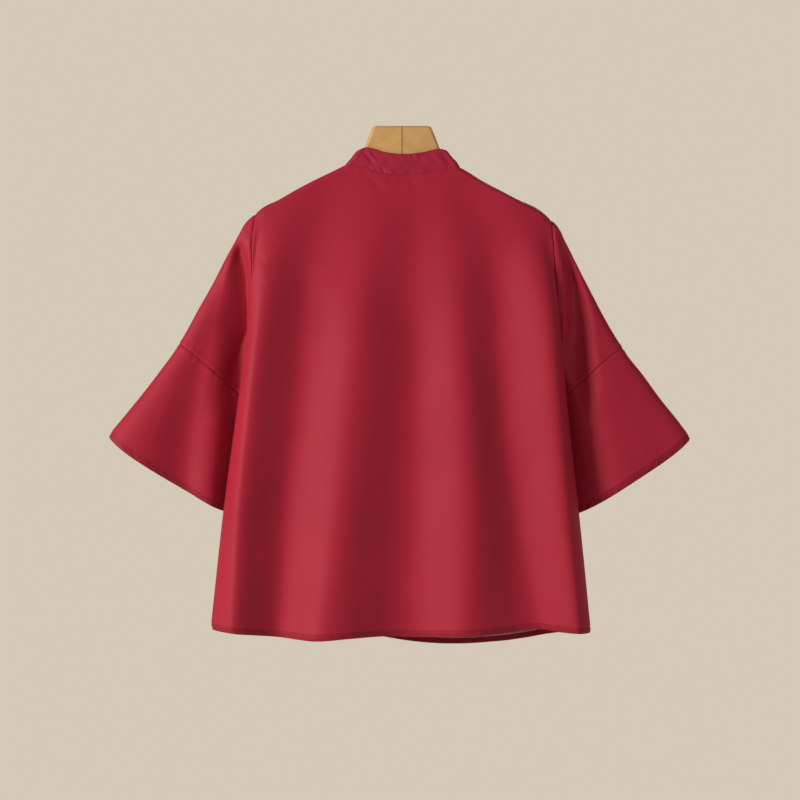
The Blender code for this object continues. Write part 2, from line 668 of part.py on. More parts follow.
def build_hanger(collection):
    """Two flat wooden arms with rounded edges, mitred at the centre."""
    for side, name in ((-1, "hanger_left"), (1, "hanger_right")):
        curve = bpy.data.curves.new(name, "CURVE")
        curve.dimensions = "2D"
        curve.fill_mode = "BOTH"
        curve.extrude = (HANGER_HALF_THICKNESS - HANGER_ROUNDING) * MM
        curve.bevel_depth = HANGER_ROUNDING * MM
        curve.bevel_resolution = 2
        curve.offset = -HANGER_ROUNDING * MM
        outline = hanger_outline(side)
        spline = curve.splines.new("POLY")
        spline.points.add(len(outline) - 1)
        for point, (x, z) in zip(spline.points, outline):
            point.co = (x * MM, z * MM, 0, 1)
        spline.use_cyclic_u = True
        guide = bpy.data.objects.new(name, curve)
        collection.objects.link(guide)
        bpy.context.view_layer.update()
        shape = guide.evaluated_get(bpy.context.evaluated_depsgraph_get())
        arm = bpy.data.meshes.new_from_object(shape)
        bpy.data.objects.remove(guide)
        cut_at_joint(arm, side)
        arm.transform(Matrix.Rotation(math.pi / 2, 4, "X"))
        add_object(name, arm, collection, material("honey wood, " + name, WOOD, WOOD_ROUGHNESS))


def cut_at_joint(arm, side):
    """Cut an arm off square at the joint and close the cut."""
    work = bmesh.new()
    work.from_mesh(arm)
    bmesh.ops.remove_doubles(work, verts=work.verts[:], dist=WELD * MM)
    cut = bmesh.ops.bisect_plane(work, geom=work.verts[:] + work.edges[:] + work.faces[:],
                                 plane_co=(side * HANGER_CUT * MM, 0, 0), plane_no=(side, 0, 0),
                                 clear_inner=True)
    rim = [part for part in cut["geom_cut"] if isinstance(part, bmesh.types.BMEdge)]
    bmesh.ops.holes_fill(work, edges=rim, sides=0)
    bmesh.ops.recalc_face_normals(work, faces=work.faces[:])
    work.to_mesh(arm)
    work.free()


def collar_front_face(drop):
    """Depth of the collar's outer face beside its front opening."""
    seam = panel_point(False, 0.5 + SLIT_SHARE, 0.0)
    top = collar_top(False, seam)
    share = (seam[2] + drop) / (seam[2] - top[2])
    return seam[1] + (top[1] - seam[1]) * share


def build_button(collection):
    """Flat round button on one collar end and a thread loop from the other."""
    face = collar_front_face(BUTTON_DROP)
    bpy.ops.mesh.primitive_cylinder_add(vertices=BUTTON_SIDES, radius=BUTTON_RADIUS * MM, depth=BUTTON_THICKNESS * MM)
    button = bpy.context.object
    button.name = "collar_button"
    button.rotation_euler = (math.pi / 2, 0, 0)
    middle = face + BUTTON_STAND + BUTTON_THICKNESS / 2
    button.location = (BUTTON_X * MM, middle * MM, -BUTTON_DROP * MM)
    rim = button.modifiers.new("rounded rim", "BEVEL")
    rim.width = BUTTON_RIM * MM
    rim.segments = 2
    rim.limit_method = "ANGLE"
    button.data.materials.append(material("red covered button", COLLAR_RED, CLOTH_ROUGHNESS))
    for owner in list(button.users_collection):
        owner.objects.unlink(button)
    collection.objects.link(button)

    curve = bpy.data.curves.new("button_loop", "CURVE")
    curve.dimensions = "3D"
    curve.bevel_depth = LOOP_THREAD * MM
    curve.bevel_resolution = 2
    curve.use_fill_caps = True
    depth = face + LOOP_THREAD + BUTTON_STAND
    points = [(LOOP_LEFT_X, BUTTON_DROP + LOOP_RADIUS / 2)]
    for k in range(LOOP_POINTS + 1):
        turn = math.radians(LOOP_HALF_TURN * (2 * k / LOOP_POINTS - 1))
        points.append((BUTTON_X + LOOP_RADIUS * math.cos(turn), BUTTON_DROP - LOOP_RADIUS * math.sin(turn)))
    points.append((LOOP_LEFT_X, BUTTON_DROP - LOOP_RADIUS / 2))
    spline = curve.splines.new("POLY")
    spline.points.add(len(points) - 1)
    for point, (x, drop) in zip(spline.points, points):
        point.co = (x * MM, depth * MM, -drop * MM, 1)
    add_object("button_loop", curve, collection, material("red thread", COLLAR_RED, CLOTH_ROUGHNESS))


def main():
    for old in list(bpy.data.objects):
        bpy.data.objects.remove(old, do_unlink=True)
    blouse = bpy.data.collections.new("stand collar blouse")
    bpy.context.scene.collection.children.link(blouse)
    build_panels(blouse)
    build_sleeves(blouse)
    build_collar(blouse)
    build_hanger(blouse)
    build_button(blouse)


main()
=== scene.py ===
"""Looks of a stand collar blouse on a wooden hanger: cloth, seams, stitches, wood and light.

Sizes are in millimetres in the row frame, and turn into metres where a mesh is made. A drop is a
distance down from the top of the hanger. The garment's back faces -Y, its front +Y.
"""
import math

import bmesh
import bpy
import numpy as np
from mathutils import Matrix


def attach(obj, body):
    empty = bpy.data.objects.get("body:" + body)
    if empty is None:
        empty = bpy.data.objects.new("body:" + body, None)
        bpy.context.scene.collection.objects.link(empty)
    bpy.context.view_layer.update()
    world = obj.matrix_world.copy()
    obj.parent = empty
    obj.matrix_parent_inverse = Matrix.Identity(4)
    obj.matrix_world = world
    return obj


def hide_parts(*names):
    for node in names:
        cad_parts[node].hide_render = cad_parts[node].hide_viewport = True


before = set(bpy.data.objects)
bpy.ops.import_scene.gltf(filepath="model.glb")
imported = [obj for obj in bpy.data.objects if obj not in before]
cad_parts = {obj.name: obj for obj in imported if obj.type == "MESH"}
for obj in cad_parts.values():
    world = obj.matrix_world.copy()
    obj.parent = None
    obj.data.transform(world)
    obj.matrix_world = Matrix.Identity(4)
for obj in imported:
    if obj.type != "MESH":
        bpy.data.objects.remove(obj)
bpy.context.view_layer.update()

# Units, and the thickness of the cloth and of the doubled collar
MM = 0.001
CLOTH = 0.55
COLLAR_THICK = 1.9

# Turned hems: how deep they are, the round of their edge and its steps in degrees, the heights of the
# rows inside, the height of the stitches, and how far the cloth curls in. The front's is shallower.
HEM_DEPTH = 8.0
FRONT_HEM_DEPTH = 7.1
HEM_ROUND = 0.55
HEM_TURN = (30, 60, 90, 120, 150)
PANEL_HEM_RISE = (0.8, 2.5, 4.5, 5.6)
SLEEVE_HEM_RISE = (0.8, 2.5, 4.5, 6.5)
STITCH_LINE = 7.4
FRONT_STITCH_LINE = 6.4
HEM_CURL = 1.5

# Machine stitches: distance apart, length and thickness, and their form as share along, share of radius
STITCH_PITCH = 2.9
STITCH_LENGTH = 2.1
STITCH_THICK = 0.32
STITCH_SIDES = 5
STITCH_PROFILE = ((-0.5, 0.0), (-0.36, 0.8), (0.0, 1.0), (0.36, 0.8), (0.5, 0.0))

# Relief beside a seam: depth and width of its groove, then height, place and width of the ridge beside it
SIDE_SEAM = (0.7, 1.5, 0.35, 4.5, 3.0)
ARMHOLE_SEAM = (0.6, 1.4, 0.3, 5, 3)
FLOUNCE_SEAM = (0.6, 1.4, 0.3, 4, 2.5)

# Height over which a panel rolls over the shoulder, and the depth of the shoulder line
ROLL = 9.0
RIDGE_Y = 1.0

# Camera: the photograph's frame is 1080 mm wide at the hanger
CAMERA_AWAY = 4000.0
CAMERA_X = -2.7
CAMERA_DROP = 370.0
FRAME_WIDTH = 1080.0
SENSOR = 36.0

# Drops at which the tables of the body give their values
LEVELS = (56, 154, 235, 338, 505, 690)

# Folds of the back: strength (+ crest, - valley) and x at each level
BACK_FOLDS = (
    ("side lobe left", 0.9, (-128, -188, -197, -206, -222, -230)),
    ("valley 1", -1.0, (-77, -119, -127, -136, -154, -168)),
    ("crest 1", 1.2, (-38, -45, -54, -64, -84, -111)),
    ("valley 2", -1.1, (2, 14, 12, 17, 13, 11)),
    ("crest 2", 1.0, (42, 76, 81, 87, 94, 84)),
    ("valley 3", -0.9, (80, 114, 124, 129, 148, 186)),
    ("side lobe right", 1.1, (128, 186, 204.5, 211, 224, 240)),
)
# Folds of the front, which hangs flatter against the wall
FRONT_FOLDS = (
    ("crest 1", 0.5, (-128, -158, -158, -158, -166, -190)),
    ("valley 1", -0.6, (-76, -110, -114, -116, -124, -134)),
    ("crest 2", 0.9, (-38, -52, -60, -66, -76, -82)),
    ("centre", -0.3, (1, 1, 2, 2, 2, 2)),
    ("crest 3", 0.7, (42, 56, 62, 66, 72, 78)),
    ("valley 2", -0.9, (79, 110, 114, 116, 122, 134)),
    ("crest 4", 0.5, (128, 156, 156, 157, 164, 186)),
)
# Depth of each panel from the hanger's plane, and how far a fold of strength 1 swells
BACK_DEPTH = (8.5, 14, 18, 24, 29, 34)
BACK_SWELL = (0, 2.5, 6, 9, 11.5, 13.5)
FRONT_DEPTH = (10.5, 13, 16, 20, 24, 27)
FRONT_SWELL = (0, 2, 4, 6, 8, 9)

# Points where each panel turns to its side edges, at each level: x left, x right, y
BACK_TURNS = ((-172, 172, -8), (-195, 195, -14), (-202.5, 209, -18), (-215.5, 218, -8), (-238, 235, -4),
              (-257, 252.5, -2))
FRONT_TURNS = ((-172, 172, 9), (-184, 184, 13), (-182, 183, 16), (-185, 184, 18), (-196, 193, 19),
               (-226, 221, 18))
# Armhole from shoulder tip to armpit: drop, then x and y of the back edge and of the front edge
LEFT_ARMHOLE = (
    ("shoulder", 121, -198, -8.5, -198, 10),
    ("cap", 150, -201, -13.5, -197, 12.5),
    ("chest", 190, -202, -16, -196, 15),
    ("bust", 235, -203, -13.5, -195, 15.5),
    ("under bust", 275, -201, -6, -195, 15.5),
    ("pit", 310, -199.5, 0, -196, 14.5),
    ("low pit", 328, -199.5, 4, -198, 13),
    ("armpit", 338, -200.5, 9, -200.5, 9),
)
RIGHT_ARMHOLE = (
    ("shoulder", 128, 201.5, -8.5, 201.5, 10),
    ("cap", 155, 204, -12, 200, 12.5),
    ("chest", 195, 206, -13.5, 198, 15),
    ("bust", 240, 207.5, -12.5, 197, 15.5),
    ("under bust", 280, 206, -6, 197, 15.5),
    ("pit", 315, 202, 0, 197.5, 14.5),
    ("low pit", 333, 200.5, 4, 198, 13),
    ("armpit", 343, 200, 9, 200, 9),
)
# Side seam, where back and front meet: drop, x, y
LEFT_SIDE = (
    ("armpit", 338, -200.5, 9),
    ("rib", 372, -202, 11),
    ("waist", 505, -213, 10),
    ("hem", 690, -244, 7),
)
RIGHT_SIDE = (
    ("armpit", 343, 200, 9),
    ("rib", 377, 201, 11),
    ("waist", 505, 209, 10),
    ("hem", 690, 239, 7),
)

# Shoulder ridge from left sleeve to right sleeve, x and drop
NECK_LEFT = -77.0
NECK_RIGHT = 80.5
RIDGE = (
    (-210, 128), (-198, 119.5), (-190, 112), (-167, 100), (-142, 86), (-117, 73), (-90, 59.5), (-77, 53),
    (80.5, 57), (92, 63.5), (107, 73), (131, 86), (158, 100), (185, 113), (193, 119), (201, 127), (212, 137),
)
# Neckline of the back and of the front, x and drop
NECKLINE_BACK = ((-77, 53), (-54, 56), (-30, 63), (-14, 66.5), (5, 67), (34, 63.5), (62, 59.5), (80.5, 57))
NECKLINE_FRONT = (
    (-77, 53), (-70, 73), (-56, 97), (-32, 119), (1, 131), (34, 121), (59, 99), (74, 76), (80.5, 57),
)
# Hem line of each panel, x and drop
HEM_BACK = (
    (-260, 678), (-225, 682), (-165, 688), (-120, 692), (-70, 689), (-20, 687), (20, 688), (60, 687),
    (95, 685.5), (140, 682), (185, 677.5), (215, 681), (256, 682),
)
HEM_FRONT = (
    (-260, 678), (-200, 684), (-100, 688.5), (-30, 690), (5, 695.5), (45, 700), (85, 700.5), (119, 697.4),
    (171, 691.5), (213, 684.5), (256, 682),
)
# Length of the body's left side, from the shoulder tip to the hem, and a drop close above the hem
SIDE_LENGTH = HEM_BACK[0][1] - RIDGE[1][1]
NEAR_HEM = 680.0

# Centre slit of the front. Its share is of the panel's width, from the middle to an edge of the slit.
SLIT_X = 1.0
SLIT_HALF_WIDTH = 0.6
SLIT_LENGTH = 150.0
SLIT_SHARE = 0.0012

# Stand collar: x and drop of its top edge at the back and at the front, how much its sides lean, the top
# edge's distance behind and before the hanger, and the height over which it turns there from the sides
COLLAR_TOP_BACK = ((-61, 34), (-50, 30.3), (-25, 36), (2, 39), (29, 36.5), (53, 32), (62.5, 34.5))
COLLAR_TOP_FRONT = (
    (-61, 34), (-56, 46), (-45, 68), (-26, 92), (1, 103), (28, 93), (47, 68), (58, 46), (62.5, 34.5),
)
COLLAR_SIDE_LEAN = 1.19
COLLAR_BACK_AWAY = 9.7
COLLAR_TOP_FRONT_AWAY = 14.5
COLLAR_TOP_ROLL = 7.0
COLLAR_END_GAP = 1.4

# Sleeves. Stations run 0 at the armhole, 1 at the flounce seam, 2 at the sleeve hem. The tuck, where the
# sleeve falls in beside the body: drop, x of its valley, depth, width outward and width inward.
SLEEVE_LEFT = {
    "outer": ((0, -198, 121), (0.06, -209, 130), (0.15, -220, 147), (0.25, -231, 167), (0.5, -254, 210),
              (0.75, -277.5, 252), (1, -301, 294), (1.3, -326, 330), (1.65, -358, 371), (2, -397, 418)),
    "inner": ((0, -200, 338), (0.1, -205, 340), (0.5, -211, 352), (1, -215, 369), (1.5, -221, 448),
              (2, -230, 523)),
    "back folds": (
        ("outer crest", (0.10, 0.12, 0.31), (9, 15, 27)),
        ("valley", (0.30, 0.34, 0.64), (9, 13, 12)),
        ("inner crest", (0.58, 0.66, 0.86), (10, 16, 22)),
        ("gap", (0.88, 0.94, 0.98), (6, 3, 12)),
    ),
    "tuck": ((136, -232, 0, 10, 20), (154, -224, 4, 13, 20), (171, -216, 11, 20, 16),
             (190, -209.5, 15, 28, 12), (205, -206.5, 17, 34, 10), (228, -204.5, 18, 40, 10),
             (275, -208, 18, 46, 12), (310, -212, 17, 48, 14), (345, -217, 13, 50, 16),
             (400, -224, 0, 50, 20)),
}
SLEEVE_RIGHT = {
    "outer": ((0, 201, 128), (0.06, 210, 137), (0.15, 218.5, 154), (0.25, 227, 170), (0.5, 249, 212),
              (0.75, 272, 256), (1, 298, 300), (1.3, 322, 332), (1.65, 354, 374), (2, 390, 421)),
    "inner": ((0, 199, 343), (0.1, 204, 345), (0.5, 209.5, 357), (1, 213.5, 373), (1.5, 218, 450),
              (2, 226, 527)),
    "back folds": (
        ("outer roll", (0.12, 0.14, 0.16), (9, 15, 19)),
        ("plain", (0.30, 0.31, 0.36), (10, 18, 25)),
        ("inner crest", (0.53, 0.50, 0.60), (10, 20, 29)),
        ("flank", (0.74, 0.76, 0.80), (8, 14, 20)),
        ("gap", (0.90, 0.93, 0.95), (6, 4, 10)),
    ),
    "tuck": ((130, 205, 0, 10, 8), (143, 212, 3, 12, 10), (161, 219, 8, 16, 14), (184, 225, 11, 20, 18),
             (208, 229, 13, 24, 21), (235, 232, 14, 26, 23), (273, 235, 14, 28, 26),
             (310, 237, 13, 30, 28), (345, 239, 10, 32, 30), (400, 240, 0, 34, 30)),
}
# The wall side of both sleeves has two softer folds
SLEEVE_FRONT_FOLDS = (
    ("outer crest", (0.2, 0.22, 0.24), (9, 11, 16)),
    ("valley", (0.45, 0.48, 0.5), (7, 7, 9)),
    ("inner crest", (0.75, 0.78, 0.8), (8, 9, 13)),
)
# At each station: depth of the sleeve's middle at its outer and its inner edge, and how far it bows
SLEEVE_STATIONS = (0, 1, 2)
SLEEVE_MID_OUTER = (0, 3, 2)
SLEEVE_MID_INNER = (9, 14.5, 15)
SLEEVE_BOW = (0, -3, 7)
# How square the section's edges are, and the station from which the sleeve hangs free of the armhole
SLEEVE_EDGE_POWER = 5
SLEEVE_BLEND = 0.6
# The tuck grows over the first stations, and over shares of the width at the outer and the inner edge
TUCK_STARTS = 0.05
TUCK_EDGE = 0.14
TUCK_LAST = 0.3
# Shares of the armhole between which the sleeve folds back over the body's seam, and its clearances
FOLD_FROM = 0.5
FOLD_TO = 0.75
SEAM_GAP = 0.35
FOLD_CLEAR = 2.2
# Shares across a panel that give the armhole's edge and the cloth's direction there
LEFT_EDGE_SHARES = (0.0, 0.02)
RIGHT_EDGE_SHARES = (0.98, 1.0)

# Level sections of a panel, and the first guess of its top edge and the tries that settle it
LEVEL_STEP = 2.0
SECTION_DROPS = (46.0, 716.0)
TOP_GUESS = 100.0
TOP_TRIES = 8
# Columns of a panel, closer together beside its side edges and its slit; steps are in from each
PANEL_WIDTH = 470.0
EDGE_STEPS = (0, 0.8, 1.6, 2.6, 4, 6, 9, 13)
SLIT_STEPS = (14, 9, 5.5, 3.2, 1.6, 0.6)
SLIT_STRIP = 17.0
BACK_COLUMNS = 196
FRONT_COLUMNS = 176
NECK_COLUMNS = 520
# Rows of a panel: under its top edge, between, and above the hem's edge
ROLL_ROWS = (0, 0.25, 0.7, 1.4, 2.6, 4.0, 5.6, 7.3, 9)
BACK_BODY_ROWS = 186
FRONT_BODY_ROWS = 160
HEM_ROWS = (13, 10.5, 8.9, 8.2, 7.8, 7.4, 7.0, 6.4, 5, 3.4, 1.8, 0.7, 0)
HEM_EDGE_ROWS = 8
# Seam allowance at the armhole: reach past the seam and depth under the cloth, the height over which it
# grows from the armpit, and the least share of it that is kept
ALLOWANCE = ((6.0, 2.4), (2.5, 2.2), (0.3, 1.4))
ALLOWANCE_FADE = 30.0
ALLOWANCE_LEAST = 0.1
# Columns down each side of a sleeve's ring, and the stations of its rows, closer together at the seams
RING_SIDE = 96
UPPER_STATIONS = ((0, 0.004, 0.009, 0.015, 0.024), (0.036, 0.97, 70), (0.98, 0.988, 0.995, 1.0))
FLOUNCE_STATIONS = ((1.0, 1.006, 1.013, 1.022), (1.035, 1.9, 76),
                    (1.92, 1.935, 1.945, 1.952, 1.958, 1.966, 1.976, 1.988, 1.996, 2.0))


def smooth_through(keys, values, at):
    """Cubic curve through the values at rising keys, at one place or at many."""
    keys = np.asarray(keys, float)
    values = np.asarray(values, float)
    at = np.asarray(at, float)
    slopes = np.gradient(values, keys, axis=0)
    i = np.clip(np.searchsorted(keys, at) - 1, 0, len(keys) - 2)
    span = keys[i + 1] - keys[i]
    t = np.clip((at - keys[i]) / span, 0, 1)
    if values.ndim > 1 and at.ndim:
        t = t[:, None]
        span = span[:, None]
    ease_in = t * t * (3 - 2 * t)
    leave = t * (1 - t) ** 2 * span
    arrive = -t * t * (1 - t) * span
    return values[i] * (1 - ease_in) + values[i + 1] * ease_in + slopes[i] * leave + slopes[i + 1] * arrive


def line_through(pairs, x):
    """Height of a smooth line, given as x and drop pairs, at x."""
    return smooth_through([pair[0] for pair in pairs], [pair[1] for pair in pairs], x)


def side_edge(armhole, side, is_back, drop):
    """Point (x, y) of a panel's side edge at a drop, on the armhole or on the side seam."""
    if drop > side[0][1]:
        return smooth_through([row[1] for row in side], [row[2:4] for row in side], drop)
    first = 2 if is_back else 4
    return smooth_through([row[1] for row in armhole], [row[first:first + 2] for row in armhole], drop)


def lengths(points, axis=0):
    """Distance of each point from the first one, down the rows (axis 0) or across the columns (axis 1)."""
    steps = np.linalg.norm(np.diff(points, axis=axis), axis=-1)
    return np.insert(np.cumsum(steps, axis=axis), 0, 0, axis=axis)


def panel_controls(is_back, drop):
    """Points (x, y) that one level section of a panel runs through, left to right."""
    folds = BACK_FOLDS if is_back else FRONT_FOLDS
    x = smooth_through(LEVELS, np.array([fold[2] for fold in folds]).T, drop)
    depth = smooth_through(LEVELS, BACK_DEPTH if is_back else FRONT_DEPTH, drop)
    swell = smooth_through(LEVELS, BACK_SWELL if is_back else FRONT_SWELL, drop)
    away = depth + swell * np.array([fold[1] for fold in folds])
    left, right, turn = smooth_through(LEVELS, BACK_TURNS if is_back else FRONT_TURNS, drop)
    return np.array([side_edge(LEFT_ARMHOLE, LEFT_SIDE, is_back, drop), (left, turn),
                     *zip(x, -away if is_back else away), (right, turn),
                     side_edge(RIGHT_ARMHOLE, RIGHT_SIDE, is_back, drop)])


def level_section(is_back, drop, shares):
    """Points (x, y) of a panel at shares across it, each fold taking an equal share."""
    points = panel_controls(is_back, drop)
    along = lengths(points)
    place = np.interp(shares * (len(points) - 1), range(len(points)), along)
    return smooth_through(along, points, place)


def top_line(is_back, x):
    """Drop of a panel's top edge: the shoulder ridge, and the neckline between the neck points."""
    left = line_through([pair for pair in RIDGE if pair[0] < 0], x)
    right = line_through([pair for pair in RIDGE if pair[0] > 0], x)
    neck = line_through(NECKLINE_BACK if is_back else NECKLINE_FRONT, x)
    return np.where(x < NECK_LEFT, left, np.where(x > NECK_RIGHT, right, neck))


def rolled(depth, share):
    """Depth reached on a quarter round that leaves the ridge."""
    share = np.clip(share, 0, 1)
    return RIDGE_Y + (depth - RIDGE_Y) * np.sqrt(1 - (1 - share) ** 2)


def top_depth(is_back, x, depth):
    """Depth of a panel's top edge: on the ridge, or rolled over the hanger to the collar's seam."""
    inset = np.minimum(x - NECK_LEFT, NECK_RIGHT - x)
    left, right = line_through(NECKLINE_BACK, (NECK_LEFT, NECK_RIGHT))
    under = top_line(is_back, x) - np.where(x < 0, left, right) + inset * COLLAR_SIDE_LEAN
    return np.where(inset > 0, rolled(depth, under / ROLL), RIDGE_Y)


def panel_surface(is_back, shares):
    """Function that gives a panel's outer points for rows of distances under its top edge."""
    drops = np.arange(SECTION_DROPS[0], SECTION_DROPS[1], LEVEL_STEP)
    sections = np.array([level_section(is_back, drop, shares) for drop in drops])
    columns = np.arange(len(shares))

    def at_drop(drop):
        place = np.clip((drop - drops[0]) / LEVEL_STEP, 0, len(drops) - 1.001)
        i = place.astype(int)
        t = (place - i)[:, None]
        return sections[i, columns] * (1 - t) + sections[i + 1, columns] * t

    top = np.full(len(shares), TOP_GUESS)
    for _ in range(TOP_TRIES):
        top = top_line(is_back, at_drop(top)[:, 0])
    hem_pairs = HEM_BACK if is_back else HEM_FRONT
    hem = line_through(hem_pairs, at_drop(np.full(len(shares), NEAR_HEM))[:, 0])

    def at(below):
        share = (below - ROLL) / (SIDE_LENGTH - ROLL)
        drop = np.where(below <= ROLL, top + below, top + ROLL + share * (hem - top - ROLL))
        points = at_drop(drop)
        under = grows(drop - top, ROLL)
        turned = 1 - np.sqrt(1 - (1 - under) ** 2)
        y = points[:, 1] + turned * (top_depth(is_back, points[:, 0], points[:, 1]) - points[:, 1])
        return np.stack([points[:, 0], y, -drop], axis=1)

    return at


def unit(vectors):
    """Vectors brought to a length of 1."""
    return vectors / np.maximum(np.linalg.norm(vectors, axis=-1, keepdims=True), 1e-9)


def hump(distance, width, place=0.0):
    """1 at a place, falling away over about a width to each side."""
    return np.exp(-((distance - place) / width) ** 2)


def grows(distance, over):
    """Share from 0 to 1 that is reached over a distance."""
    return np.clip(distance / over, 0, 1)


def grid_normals(grid, outward, closed=False):
    """Unit normals of a grid of points [row, column]; outward is 1 or -1."""
    if closed:
        wide = np.concatenate([grid[:, -1:], grid, grid[:, :1]], axis=1)
        across = np.gradient(wide, axis=1)[:, 1:-1]
    else:
        across = np.gradient(grid, axis=1)
    down = np.gradient(grid, axis=0)
    return unit(np.cross(down, across)) * outward


def ripples(u, v, count, longest, seed):
    """Smooth unevenness of the cloth: plane waves of unlike lengths and directions, about 1 high."""
    dice = np.random.default_rng(seed)
    total = np.zeros(np.broadcast(u, v).shape)
    for _ in range(count):
        length = longest * dice.uniform(0.35, 1.0)
        angle = dice.uniform(0, math.pi)
        phase = dice.uniform(0, 2 * math.pi)
        total += np.sin((u * math.cos(angle) + v * math.sin(angle)) * 2 * math.pi / length + phase)
    return total / math.sqrt(count)


def crease_field(x, drop, creases):
    """Depth of listed creases: each runs from one (x, drop) to another and fades at its ends."""
    total = np.zeros_like(x)
    for _, start, end, width, depth in creases:
        start = np.array(start, float)
        way = np.array(end, float) - start
        length = np.linalg.norm(way)
        way /= length
        along = ((x - start[0]) * way[0] + (drop - start[1]) * way[1]) / length
        aside = -(x - start[0]) * way[1] + (drop - start[1]) * way[0]
        fade = np.clip(1 - (2 * along - 1) ** 2, 0, 1) ** 1.5
        total += depth * fade * hump(aside, width)
    return total


def seam_relief(distance, groove, groove_width, ridge, ridge_at, ridge_width):
    """Relief beside a seam: a groove at the seam and a low ridge where its allowance lies under."""
    return ridge * hump(distance, ridge_width, ridge_at) - groove * hump(distance, groove_width)


def turned_hem(grid, normals, rises):
    """Rows that carry the cloth round its lower edge and up inside, as a turned hem."""
    edge = grid[-1]
    out = normals[-1]
    down = unit(grid[-1] - grid[-3])
    rows = []
    for turn in np.radians(HEM_TURN):
        rows.append(edge + out * HEM_ROUND * (math.cos(turn) - 1) + down * HEM_ROUND * math.sin(turn))
    for rise in rises:
        rows.append(at_height(grid, rise) - out * 2 * HEM_ROUND)
    return np.array(rows)


def at_height(grid, up):
    """Points a distance up from the grid's last row, along its columns."""
    rising = grid[::-1]
    heights = lengths(rising)
    points = np.empty((grid.shape[1], 3))
    for c in range(grid.shape[1]):
        for k in range(3):
            points[c, k] = np.interp(up, heights[:, c], rising[:, c, k])
    return points


def new_mesh(name, verts, faces, materials, uvs=None):
    """Smooth-shaded mesh object from points in millimetres."""
    mesh = bpy.data.meshes.new(name)
    mesh.from_pydata((np.asarray(verts) * MM).tolist(), [], faces)
    mesh.shade_smooth()
    for finish in materials:
        mesh.materials.append(finish)
    if uvs is not None:
        layer = mesh.uv_layers.new(name="cloth")
        corners = np.empty(len(mesh.loops), dtype=np.int32)
        mesh.loops.foreach_get("vertex_index", corners)
        layer.data.foreach_set("uv", np.asarray(uvs)[corners].astype(np.float32).ravel())
    made = bpy.data.objects.new(name, mesh)
    bpy.context.scene.collection.objects.link(made)
    return made


def grid_faces(rows, width, closed, outward, skip=None):
    """Quads of a grid; outward is 1 or -1."""
    faces = []
    for r in range(rows - 1):
        for c in range(width if closed else width - 1):
            if skip and skip(r, c):
                continue
            n = (c + 1) % width
            face = (r * width + c, (r + 1) * width + c, (r + 1) * width + n, r * width + n)
            faces.append(face if outward > 0 else face[::-1])
    return faces


def cloth_uvs(grid):
    """Flat place of each point of a grid of cloth, in metres along its rows and down its columns."""
    return np.stack([lengths(grid, 1) * MM, -lengths(grid) * MM], axis=2).reshape(-1, 2)


def cloth_piece(name, grid, outward, closed=False, skip=None, hem_from=None):
    """Thin cloth from a grid of points, right side out, pale reverse inside; its hem starts at a row, and
    from there its satin is darker with painted shade.
    """
    rows, width = grid.shape[:2]
    faces = grid_faces(rows, width, closed, outward, skip)
    made = new_mesh(name, grid.reshape(-1, 3), faces, [satin, reverse, hem_shaded_satin, reverse], cloth_uvs(grid))
    # The hem band's faces take a darker satin: painted shade of the curled, puckered hem.
    if hem_from:
        hem_shade_marks = [2 if min(face) >= hem_from * width else 0 for face in faces]
        made.data.polygons.foreach_set("material_index", hem_shade_marks)
    solid = made.modifiers.new("cloth", "SOLIDIFY")
    solid.thickness = CLOTH * MM
    solid.offset = -1
    solid.material_offset = 1
    solid.material_offset_rim = 0
    return made


def feed(tree, socket, value):
    """Links an output to an input, or sets the input's own number or colour."""
    if isinstance(value, bpy.types.NodeSocket):
        tree.links.new(value, socket)
    else:
        socket.default_value = value


def node(tree, kind, settings=(), **inputs):
    """Shader node with its settings and inputs; an input is a number, a colour or another's output."""
    made = tree.nodes.new(kind)
    for key, value in settings:
        setattr(made, key, value)
    for key, value in inputs.items():
        feed(tree, made.inputs[key.replace("_", " ")], value)
    return made


def reckon(tree, operation, *values):
    """Output of a maths node."""
    made = node(tree, "ShaderNodeMath", (("operation", operation),))
    for socket, value in zip(made.inputs, values):
        feed(tree, socket, value)
    return made.outputs[0]


def blend(tree, first, second, share):
    """A share of the first value and the rest of the second."""
    rest = reckon(tree, "MULTIPLY", second, 1 - share)
    return reckon(tree, "MULTIPLY_ADD", first, share, rest)


def stretched(tree, place, scale):
    """Coordinates stretched by a scale along each axis."""
    return node(tree, "ShaderNodeMapping", Vector=place, Scale=scale).outputs[0]


def noise(tree, place, scale, detail, roughness, distortion=0.0, flat=False):
    """Value of a noise texture, in two dimensions where it is flat."""
    made = node(tree, "ShaderNodeTexNoise", (("noise_dimensions", "2D"),) if flat else (), Vector=place,
                Scale=scale, Detail=detail, Roughness=roughness, Distortion=distortion)
    return made.outputs["Fac"]


def ramp(tree, value, dark_at, dark, light_at, light):
    """Colour that goes from dark to light between two values."""
    made = node(tree, "ShaderNodeValToRGB", Fac=value)
    for element, position, colour in zip(made.color_ramp.elements, (dark_at, light_at), (dark, light)):
        element.position = position
        element.color = (*colour, 1)
    return made.outputs["Color"]


def spread(tree, value, low, high):
    """A value from 0 to 1 spread from low to high."""
    return node(tree, "ShaderNodeMapRange", Value=value, To_Min=low, To_Max=high).outputs["Result"]


def new_material(name, colour):
    """Material with its node tree and its shader."""
    made = bpy.data.materials.new(name)
    made.use_nodes = True
    made.diffuse_color = (*colour, 1)
    tree = made.node_tree
    return made, tree, tree.nodes["Principled BSDF"]


def finish_shader(tree, shader, colour, roughness, height, strength, distance, **more):
    """Feeds a shader its colour, roughness and bump, and its other values."""
    bump = node(tree, "ShaderNodeBump", Strength=strength, Distance=distance, Height=height)
    feed(tree, shader.inputs["Base Color"], colour)
    feed(tree, shader.inputs["Roughness"], roughness)
    feed(tree, shader.inputs["Normal"], bump.outputs["Normal"])
    for key, value in more.items():
        feed(tree, shader.inputs[key.replace("_", " ")], value)


